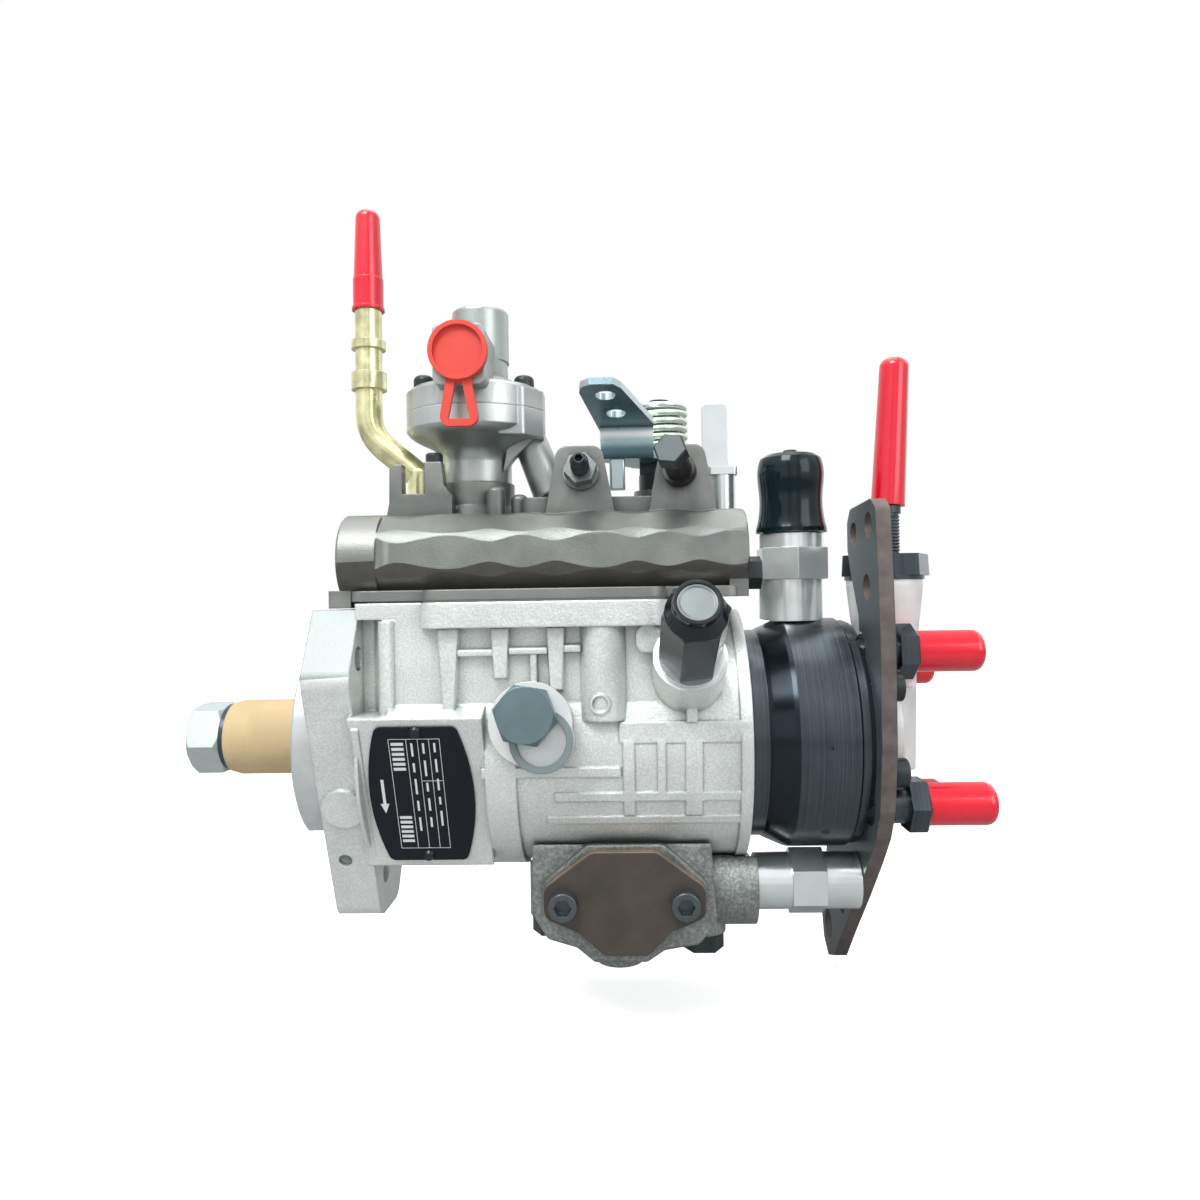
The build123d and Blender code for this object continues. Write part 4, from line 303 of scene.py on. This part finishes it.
# painted highlight: a near-white band across the lever's bend, with painted shade above and below it
LEVER_BEND_PAINTED_LIGHT = material("lever_bend_painted_light", rgb(186, 200, 203), rough=0.28, metal=0.5, bevel=0.3, light_heights=[
    (103.6, rgb(36, 62, 66)),
    (107, rgb(84, 116, 124)),
    (110.5, rgb(176, 200, 204)),
    (113, rgb(250, 253, 253)),
    (115.4, rgb(128, 156, 162)),
])
VINYL = material("red_vinyl", rgb(226, 8, 44), rough=0.24, coat=0.5, bevel=0.6, blotch=0.05)
PORTCAP = material("red_plastic", rgb(224, 72, 60), rough=0.5, bevel=0.4, blotch=0.03)
BLACKCAP = material("black_cap", rgb(8, 28, 34), rough=0.16, coat=0.2, bevel=0.6, blotch=0.1, spec=0.2)
KRAFT = material(
    "kraft_paper", rgb(206, 184, 144), rough=0.85, bevel=0.3, blotch=0.06, grain=0.2, grain_mm=1.2,
    lines=(120, 900, 900), spec=0.2)
BRACKET = material(
    "bracket_steel", rgb(88, 98, 103), rough=0.42, metal=0.45, grain=0.15, bevel=0.6, blotch=0.12)
BRACKET_EDGE = material(
    "bracket_edge", rgb(100, 92, 88), rough=0.5, metal=0.3, grain=0.2, lines=(60, 60, 2200),
    lines_depth=0.05, bevel=0.6, blotch=0.2, blotch_mm=5)
IRON = material(
    "cast_iron", rgb(150, 155, 152), rough=0.38, metal=0.75, grain=1.0, grain_mm=1.05, bevel=1.4,
    corner_shade=0.5, blotch=0.15, sparkle=0.24)
BROWN = material(
    "phosphated_cover", rgb(74, 68, 63), rough=0.5, metal=0.3, grain=0.25, grain_mm=0.5, bevel=0.6,
    blotch=0.12, corner_shade=0.2)
BROWN_EDGE = material(
    "cover_edge", rgb(150, 128, 112), rough=0.42, metal=0.5, grain=0.2, bevel=0.6, blotch=0.15)
RIVET = material("dark_rivet", rgb(54, 58, 62), rough=0.3, metal=0.7, bevel=0.2)
NAVY = material("rating_black", rgb(14, 20, 30), rough=0.4, bevel=0.2, blotch=0.08, spec=0.25)
WHITE = material("white_print", rgb(226, 228, 228), rough=0.5, bevel=0, blotch=0.02)
RUBBER = material("black_rubber", rgb(20, 20, 20), rough=0.5, bevel=0.3)
GASKET = material("gasket", rgb(96, 100, 96), rough=0.7, bevel=0.1)
STEEL = material(
    "ground_steel", rgb(176, 178, 178), rough=0.25, metal=0.95, lines=(2000, 60, 60), bevel=0.3)
BRONZE = material("bronze", rgb(170, 138, 82), rough=0.3, metal=0.9, bevel=0.3)

# which CAD node has which finish
USE = {
    ALU: ["main_housing"],
    COVER: ["governor_cover"],
    BOOST: ["boost_body", "boost_cover"],
    BRIGHT: ["end_plate"],
    BLACK: ["hydraulic_head", "outlet_holders", "stop_solenoid", "shaft_washer"],
    GLOSS: ["test_adaptor"],
    PLUG: ["test_plug", "idle_locknut"],
    SCREW: [
        "bracket_bolts", "end_plate_screws", "rail_end_bolt", "ear_bolt", "boost_screws",
        "idle_screw", "max_speed_screw", "throttle_shaft", "advance_bolts"],
    SOCKET: ["advance_cover_screws"],
    BLUEGREY: ["lock_screw"],
    SPACER: ["lock_spacer"],
    ZINC: ["advance_fitting", "lever_nut", "spring_post", "adaptor_washer"],
    NUT: ["shaft_nut"],
    UNION: ["inlet_union"],
    YELLOW: ["return_pipe"],
    LEVER: ["throttle_lever", "throttle_spring"],
    VINYL: ["outlet_caps", "solenoid_cap", "return_cap"],
    PORTCAP: ["boost_port_cap"],
    BLACKCAP: ["inlet_cap"],
    KRAFT: ["shaft_sleeve"],
    BRACKET: ["bracket_plate"],
    IRON: ["advance_housing"],
    BROWN: ["advance_cover"],
    RIVET: ["plate_rivets"],
    NAVY: ["rating_plate"],
    RUBBER: ["shaft_oil_seal", "max_speed_seal"],
    GASKET: ["cover_gasket"],
    BRONZE: ["front_bush"],
    STEEL: [
        "drive_shaft", "governor_cage", "governor_weights", "thrust_sleeve", "cam_ring", "pump_rotor",
        "plungers", "roller_shoes", "transfer_rotor", "advance_piston", "advance_spring", "boost_diaphragm"],
}
for finish, names in USE.items():
    for name in names:
        slots = nodes[name].data.materials
        slots.clear()
        slots.append(finish)


# ---------------------------------------------------------------- places on the pump, in mm
def near_side(tilt):
    """Direction towards the near side, tilted upwards by an angle in degrees."""
    return Vector((0, -math.cos(math.radians(tilt)), math.sin(math.radians(tilt))))


FLANGE_T = 16.0                      # mounting flange, from x = 0
NEAR_LUG_Z = 26                      # the flange edge is painted darker as shade from here up
NEAR_LUG_Y = -36
DECK_EDGE_Z = 47.9
SHADED_BAND_Y = -30                         # lower band of the rail on the governor cover, painted darker as shade
SHADED_BAND_TOP_Z = 73.5
LOCK = Vector((75, -51, 10.5))       # boss face under the locking screw
LOCK_OUT = near_side(9)
TEST = Vector((126.8, -53, 31.5))    # boss face under the test adaptor
TEST_OUT = near_side(29)
BEND_Y = 2.1                         # near face of the lever's bend, which carries the painted highlight
ARM_Z = 114                          # the lever's arm is above this
CONE = (34.6, 25.2)                  # cone of the head, painted darker as shade, in front of its rear face
HEAD_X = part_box("hydraulic_head")[1][0] * 1000

# parts of the unit normal of a face
EDGE_ON = 0.5                        # less than this across a plate: the face is its edge
COVER_EDGE_ON = 0.8
CONE_TILT = 0.95
UNDER = -0.06                        # lower than this: the face looks at least a little down
STRAIGHT = 0.9                       # more than this: the face looks straight that way


# ---------------------------------------------------------------- second finishes
def second(node, finish, test):
    """A second finish on the faces of a CAD node for which test(centre in mm, normal) holds."""
    mesh = nodes[node].data
    mesh.materials.append(finish)
    index = len(mesh.materials) - 1
    for face in mesh.polygons:
        if test(face.center * 1000, face.normal):
            face.material_index = index


def on_flange_edge(c, n):
    """The sides of the flange at the near upper lug and along the deck, which get painted shade."""
    in_flange = 0 <= c.x <= FLANGE_T + TOUCH
    at_lug = c.z > NEAR_LUG_Z and (c.y < NEAR_LUG_Y or c.z > DECK_EDGE_Z)
    return in_flange and at_lug and abs(n.x) < EDGE_ON


def on_plane(origin, normal, reach=0.05, aligned=0.98):
    """A test for faces in the plane through origin."""
    return lambda c, n: abs((c - origin).dot(normal)) < reach and abs(n.dot(normal)) > aligned


def on_cone(c, n):
    """The cone of the head, which gets the painted shade."""
    return HEAD_X - CONE[0] < c.x < HEAD_X - CONE[1] and abs(n.x) < CONE_TILT


second("main_housing", TURNED, lambda c, n: c.x < -TOUCH)
# painted shade on the flange edge
second("main_housing", FLANGE_EDGE_SHADED, on_flange_edge)
second("main_housing", MACHINED, on_plane(LOCK, LOCK_OUT))
second("main_housing", MACHINED, on_plane(TEST, TEST_OUT))
# painted shade on the down-facing faces of the rail's lower band
second("governor_cover", COVER_SHADED_BAND, lambda c, n: c.y < SHADED_BAND_Y and n.z < UNDER and c.z < SHADED_BAND_TOP_Z)
# painted highlight and shade on the near face of the lever's bend
second("throttle_lever", LEVER_BEND_PAINTED_LIGHT, lambda c, n: n.y < -STRAIGHT and c.y < BEND_Y)
# painted shade on the faces under the lever's arm
second("throttle_lever", LEVER_UNDER_SHADED, lambda c, n: n.z < -STRAIGHT and c.z > ARM_Z)
# painted shade on the cone of the head
second("hydraulic_head", HEAD_CONE_SHADED, on_cone)
second("bracket_plate", BRACKET_EDGE, lambda c, n: abs(n.x) < EDGE_ON)
second("advance_cover", BROWN_EDGE, lambda c, n: abs(n.y) < COVER_EDGE_ON)


# ---------------------------------------------------------------- how new pieces are made
def new_mesh(name, verts, faces, finish, body, smooth=False):
    """A piece of the visual model that moves with a body; verts are in mm."""
    mesh = bpy.data.meshes.new(name)
    mesh.from_pydata([Vector(v) * MM for v in verts], [], faces)
    mesh.update()
    o = bpy.data.objects.new(name, mesh)
    bpy.context.scene.collection.objects.link(o)
    mesh.materials.append(finish)
    if smooth:
        for face in mesh.polygons:
            face.use_smooth = True
    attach(o, body)
    return o


def tube_faces(rings, count):
    """Faces between rings of count points each, with both ends closed."""
    faces = []
    for i in range(rings - 1):
        for k in range(count):
            a, b = i * count + k, i * count + (k + 1) % count
            faces.append((a, b, b + count, a + count))
    faces.append(tuple(reversed(range(count))))
    faces.append(tuple(range((rings - 1) * count, rings * count)))
    return faces


def ring(centre, u, v, radius, count):
    """Points round a centre, in the plane of u and v."""
    turns = [2 * math.pi * k / count for k in range(count)]
    return [centre + (u * math.cos(q) + v * math.sin(q)) * radius for q in turns]


def across(axis):
    """The unit axis and two directions square to it."""
    w = Vector(axis).normalized()
    u = w.orthogonal().normalized()
    return w, u, w.cross(u)


def wire(name, points, radius, finish, body, count=10):
    """Round wire along points, swept with a steady frame; it can't start upright."""
    points = [Vector(p) for p in points]
    verts = []
    side = (points[1] - points[0]).cross(Vector((0, 0, 1)))
    for i, p in enumerate(points):
        before, after = points[max(i - 1, 0)], points[min(i + 1, len(points) - 1)]
        along = (after - before).normalized()
        side = (side - along * side.dot(along)).normalized()
        verts += ring(p, side, along.cross(side), radius, count)
    return new_mesh(name, verts, tube_faces(len(points), count), finish, body, smooth=True)


def turned(name, origin, axis, profile, finish, body, count=32, smooth=False):
    """Solid of revolution; profile is (radius, height along the axis)."""
    w, u, v = across(axis)
    verts = []
    for radius, height in profile:
        verts += ring(Vector(origin) + w * height, u, v, radius, count)
    return new_mesh(name, verts, tube_faces(len(profile), count), finish, body, smooth)


def thread(name, origin, axis, finish, radius, start, end, pitch, depth=0.3, steps=24):
    """Raised helical thread on a screw of the pump body, from start to end along its axis."""
    w, u, v = across(axis)
    sunk = 0.05                      # the root of the ridge lies inside the screw
    half = 0.46 * pitch              # half width of the ridge
    verts = []
    count = int((end - start) / pitch * steps)
    for i in range(count + 1):
        q = 2 * math.pi * i / steps
        out = u * math.cos(q) + v * math.sin(q)
        height = start + pitch * i / steps
        for r, h in ((radius - sunk, -half), (radius + depth, 0), (radius - sunk, half)):
            verts.append(Vector(origin) + out * r + w * (height + h))
    return new_mesh(name, verts, tube_faces(count + 1, 3), finish, "pump_body")


# ---------------------------------------------------------------- throttle spring, wound, with its core
THROTTLE = (121.0, 22.0)             # x and y of the throttle shaft
COIL_R = 10.1
COIL_Z = 108.4
COIL_TURNS = 5
COIL_PITCH = 3.05
COIL_STEPS = 36                      # points in a turn
WIRE_R = 1.3
CORE = [                             # radius and height
    (7.6, 112.2), (8.4, 113), (8.4, 124.6), (10.4, 125),
    (11.1, 125.5), (11.1, 126.6), (10.6, 127.1), (4.4, 127.2)]


def coil_point(i):
    q = 2 * math.pi * i / COIL_STEPS
    x, y = THROTTLE
    return (x + COIL_R * math.cos(q), y + COIL_R * math.sin(q), COIL_Z + i / COIL_STEPS * COIL_PITCH)


coil = [coil_point(i) for i in range(COIL_TURNS * COIL_STEPS + 1)]
spring = wire("spring_coil", coil, WIRE_R, SPRING, "throttle")
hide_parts("throttle_spring")
turned("spring_core", (*THROTTLE, 0), (0, 0, 1), CORE, ZINC, "throttle", count=40, smooth=True)

# ---------------------------------------------------------------- threads that show
IDLE = (91.6, -28.4, 94)
MAX_SPEED = (126.4, -28.4, 92.9)
MAX_SPEED_AXIS = (-0.245, -0.918, 0.31)
TERMINAL = (206.1, 5, 0)             # the axis of the stud on the stop solenoid
thread("idle_thread", IDLE, near_side(12), SCREW, radius=2.9, start=6.6, end=11.6, pitch=1.0)
thread("max_thread", MAX_SPEED, MAX_SPEED_AXIS, SCREW, radius=2.9, start=14.0, end=14.8, pitch=1.0)
thread("terminal_thread", TERMINAL, (0, 0, 1), BLACK, radius=4.4, start=66.2, end=80.4, pitch=1.25)

# ---------------------------------------------------------------- plug dish, flange dimple, blanked drillings
# profiles are radius and height
DISH = [(5.9, 35.0), (5.9, 36.0), (5.5, 36.0), (4.9, 35.7)]
DIMPLE = [(2.38, -8.9), (2.38, -1.2), (0.5, -2.8)]
DIMPLE_AT = (6.0, -24.4, -40.7)
DIMPLE_OUT = (0, -0.927, -0.375)
DRILLING = [(1.5, -0.6), (1.5, 0.06), (1.1, 0.1)]
HEAD_R = 42.0
turned("plug_dish", TEST, TEST_OUT, DISH, PLUG, "pump_body")
# the dimple takes the painted shade colour of the flange edge
turned("flange_dimple", DIMPLE_AT, DIMPLE_OUT, DIMPLE, FLANGE_EDGE_SHADED, "pump_body")
for place, x, tilt in (("upper", 175.4, 70), ("lower", 174.1, -48)):
    out = near_side(tilt)
    at = Vector((x, 0, 0)) + out * HEAD_R
    turned("head_plug_" + place, at, out, DRILLING, RUBBER, "pump_body")

# ---------------------------------------------------------------- rating plate print
SEAT = Vector((37.2, -39.4, -14.5))
SEAT_TILT = 22                       # degrees that the plate leans down
SEAT_ACROSS = Vector((1, 0, 0))
SEAT_UP = near_side(90 - SEAT_TILT)
SEAT_OUT = near_side(-SEAT_TILT)
PRINT_LOW = 0.68                     # over the seat
PRINT_TOP = 0.73
LEFT, RIGHT = -9.2, 7.8              # printed frame
TOP, BOTTOM = 22, -21
RULES = (-3.4, 0.4, 4.1)             # its columns
CROSS_RULE = 6
LINE = 0.18
ARROW = [(-13.4, 6.5), (-12.4, 6.5), (-12.4, -3), (-11.4, -3), (-12.9, -6.8), (-14.4, -3), (-13.4, -3)]
DASHES = ((-1.6, (5, 3.5, 6, 4, 5.5)), (2.2, (4, 6, 3.5, 5, 4)), (5.9, (3.5, 5, 4.5, 3, 6)))
DASH_TOP = 20.4
DASH_HALF = 0.35
DASH_GAP = 2.6
BLOCK_TOPS = (20.6, -8)              # two blocks of short bars
BLOCK_BARS = 6
BLOCK_SIDES = (-8.4, -4.3)
BLOCK_STEP = 1.9
BLOCK_BAR = 1.1


def on_plate(x, y, height):
    """A point over the plate, x along it and y up it."""
    return SEAT + SEAT_ACROSS * x + SEAT_UP * y + SEAT_OUT * height


def raised(points):
    """Corners and faces of a flat shape that stands just over the plate."""
    n = len(points)
    corners = [on_plate(x, y, height) for height in (PRINT_LOW, PRINT_TOP) for x, y in points]
    faces = [tuple(range(n, 2 * n)), tuple(reversed(range(n)))]
    faces += [(i, (i + 1) % n, n + (i + 1) % n, n + i) for i in range(n)]
    return corners, faces


def bar(x0, y0, x1, y1):
    """Corners of an upright rectangle."""
    return [(x0, y0), (x1, y0), (x1, y1), (x0, y1)]


def plate_shapes():
    """Frame, arrow and rows of plain dashes where a plate would carry its data."""
    shapes = [bar(LEFT, y, RIGHT, y - LINE) for y in (TOP, BOTTOM)]
    shapes += [bar(LEFT, TOP, LEFT + LINE, BOTTOM), bar(RIGHT - LINE, TOP, RIGHT, BOTTOM)]
    shapes += [bar(x, TOP, x + LINE, BOTTOM) for x in RULES]
    shapes += [bar(RULES[1], CROSS_RULE, RIGHT, CROSS_RULE - LINE), ARROW]
    for x, dashes in DASHES:
        y = DASH_TOP
        for length in dashes:
            shapes.append(bar(x - DASH_HALF, y, x + DASH_HALF, y - length))
            y -= length + DASH_GAP
    for top in BLOCK_TOPS:
        for k in range(BLOCK_BARS):
            y = top - BLOCK_STEP * k
            shapes.append(bar(BLOCK_SIDES[0], y, BLOCK_SIDES[1], y - BLOCK_BAR))
    return shapes


def plate_print():
    verts, faces = [], []
    for shape in plate_shapes():
        corners, sides = raised(shape)
        faces += [tuple(i + len(verts) for i in side) for side in sides]
        verts += corners
    new_mesh("plate_print", verts, faces, WHITE, "pump_body")


plate_print()

# ---------------------------------------------------------------- floor
FLOOR_HALF = 6.0                     # metres
FLOOR_DROP = 0.004                   # metres under the pump


def floor_finish():
    """White to the camera; throws only a little light back on the pump."""
    finish = bpy.data.materials.new("floor_white")
    finish.use_nodes = True
    tree = finish.node_tree
    white = tree.nodes["Principled BSDF"]
    white.inputs["Base Color"].default_value = grey(0.93)
    white.inputs["Roughness"].default_value = 0.9
    white.inputs["Specular IOR Level"].default_value = 0.1
    white.inputs["Emission Color"].default_value = grey(1)
    white.inputs["Emission Strength"].default_value = 0.6
    dim = add(tree, "BsdfDiffuse", {"Color": grey(0.42)})
    to_camera = add(tree, "LightPath").outputs["Is Camera Ray"]
    surface = switched(tree, to_camera, dim.outputs[0], white.outputs[0])
    tree.links.new(surface, tree.nodes["Material Output"].inputs[0])
    return finish


floor = bpy.data.meshes.new("floor")
floor_z = size_before[0][2] - FLOOR_DROP
corners = [(x, y, floor_z) for x, y in bar(-FLOOR_HALF, -FLOOR_HALF, FLOOR_HALF, FLOOR_HALF)]
floor.from_pydata(corners, [], [(0, 1, 2, 3)])
floor_o = bpy.data.objects.new("floor", floor)
bpy.context.scene.collection.objects.link(floor_o)
floor.materials.append(floor_finish())

# ---------------------------------------------------------------- world
SKY_TINT = (1, 1.01, 1.02)
SKY_LOW = (0.25, 0.255, 0.26, 1)
SKY = [(0.4, 0.32), (0.49, 0.6), (0.53, 0.9), (0.66, 0.75), (0.74, 1.0)]     # height and brightness
PANELS = [                                                                   # -X to +X, and brightness
    (0.0, 0.9), (0.16, 1.2), (0.3, 1.2), (0.38, 0.62), (0.47, 1.1),
    (0.56, 1.15), (0.66, 0.55), (0.74, 1.3), (0.86, 1.3), (1.0, 0.8)]
MATT_COLOUR = (0.97, 0.99, 1, 1)
MATT_LIGHT = 0.6
GLOSSY_LIGHT = 1.12


def backdrop(tree):
    """Sky bands times bright and dim panels, for the streaks on plated and turned metal."""
    split = add(tree, "SeparateXYZ")
    tree.links.new(add(tree, "TexCoord").outputs["Generated"], split.inputs[0])
    height = rescaled(tree, split.outputs["Z"], -1, 1)
    bands = [(0.0, SKY_LOW)] + [(z, grey(v, SKY_TINT)) for z, v in SKY] + [(1.0, grey(1.0))]
    sideways = rescaled(tree, split.outputs["X"], -1, 1)
    panels = [(x, grey(v)) for x, v in PANELS]
    return multiplied(tree, ramp(tree, height, bands), ramp(tree, sideways, panels, smooth=True))


def studio():
    """White to the camera, even light for matt finishes and the backdrop in glossy ones."""
    world = bpy.data.worlds.new("studio")
    world.use_nodes = True
    tree = world.node_tree
    tree.nodes.clear()
    path = add(tree, "LightPath")
    white = add(tree, "Background", {"Color": grey(1), "Strength": 1.0})
    matt = add(tree, "Background", {"Color": MATT_COLOUR, "Strength": MATT_LIGHT})
    glossy = add(tree, "Background", {"Strength": GLOSSY_LIGHT})
    tree.links.new(backdrop(tree), glossy.inputs["Color"])
    lit = switched(tree, path.outputs["Is Glossy Ray"], matt.outputs[0], glossy.outputs[0])
    seen = switched(tree, path.outputs["Is Camera Ray"], lit, white.outputs[0])
    tree.links.new(seen, add(tree, "OutputWorld").inputs[0])
    return world


bpy.context.scene.world = studio()


# ---------------------------------------------------------------- lamps and camera, in metres
def lamp(name, place, target, size, power):
    light = bpy.data.lights.new(name, "AREA")
    light.energy = power
    light.size = size
    o = bpy.data.objects.new(name, light)
    o.location = place
    o.rotation_mode = "QUATERNION"
    o.rotation_quaternion = (Vector(target) - Vector(place)).to_track_quat("-Z", "Y")
    bpy.context.scene.collection.objects.link(o)


lamp("key", (-0.22, -0.7, 1.0), target=(0.1, 0, 0), size=0.55, power=12.5)
lamp("fill", (0.9, -0.8, 0.5), target=(0.1, 0, 0.02), size=0.6, power=2.8)
lamp("top", (0.1, 0.2, 1.2), target=(0.1, 0, 0.05), size=0.9, power=5.0)

EYE = Vector((0.1062, -0.34, 0.05))
FOCAL_PX = 900                       # 27 mm on a 36 mm sensor, 1200 px wide
SHIFT_PX = 25                        # from the middle of the photo to straight ahead
YAW = math.atan(SHIFT_PX / FOCAL_PX)
ROLL = math.radians(0.9)
camera = bpy.data.cameras.new("camera")
camera.sensor_width = 36
camera.lens = 27.0
camera.clip_start = 0.01
camera_o = bpy.data.objects.new("camera", camera)
bpy.context.scene.collection.objects.link(camera_o)
level = Vector((math.cos(YAW), math.sin(YAW), 0))
ahead = Vector((-math.sin(YAW), math.cos(YAW), 0))
upright = Vector((0, 0, 1))
right = level * math.cos(ROLL) - upright * math.sin(ROLL)
up = level * math.sin(ROLL) + upright * math.cos(ROLL)
camera_o.matrix_world = Matrix.Translation(EYE) @ Matrix((right, up, -ahead)).transposed().to_4x4()
bpy.context.scene.camera = camera_o
bpy.context.scene.view_settings.view_transform = "Standard"
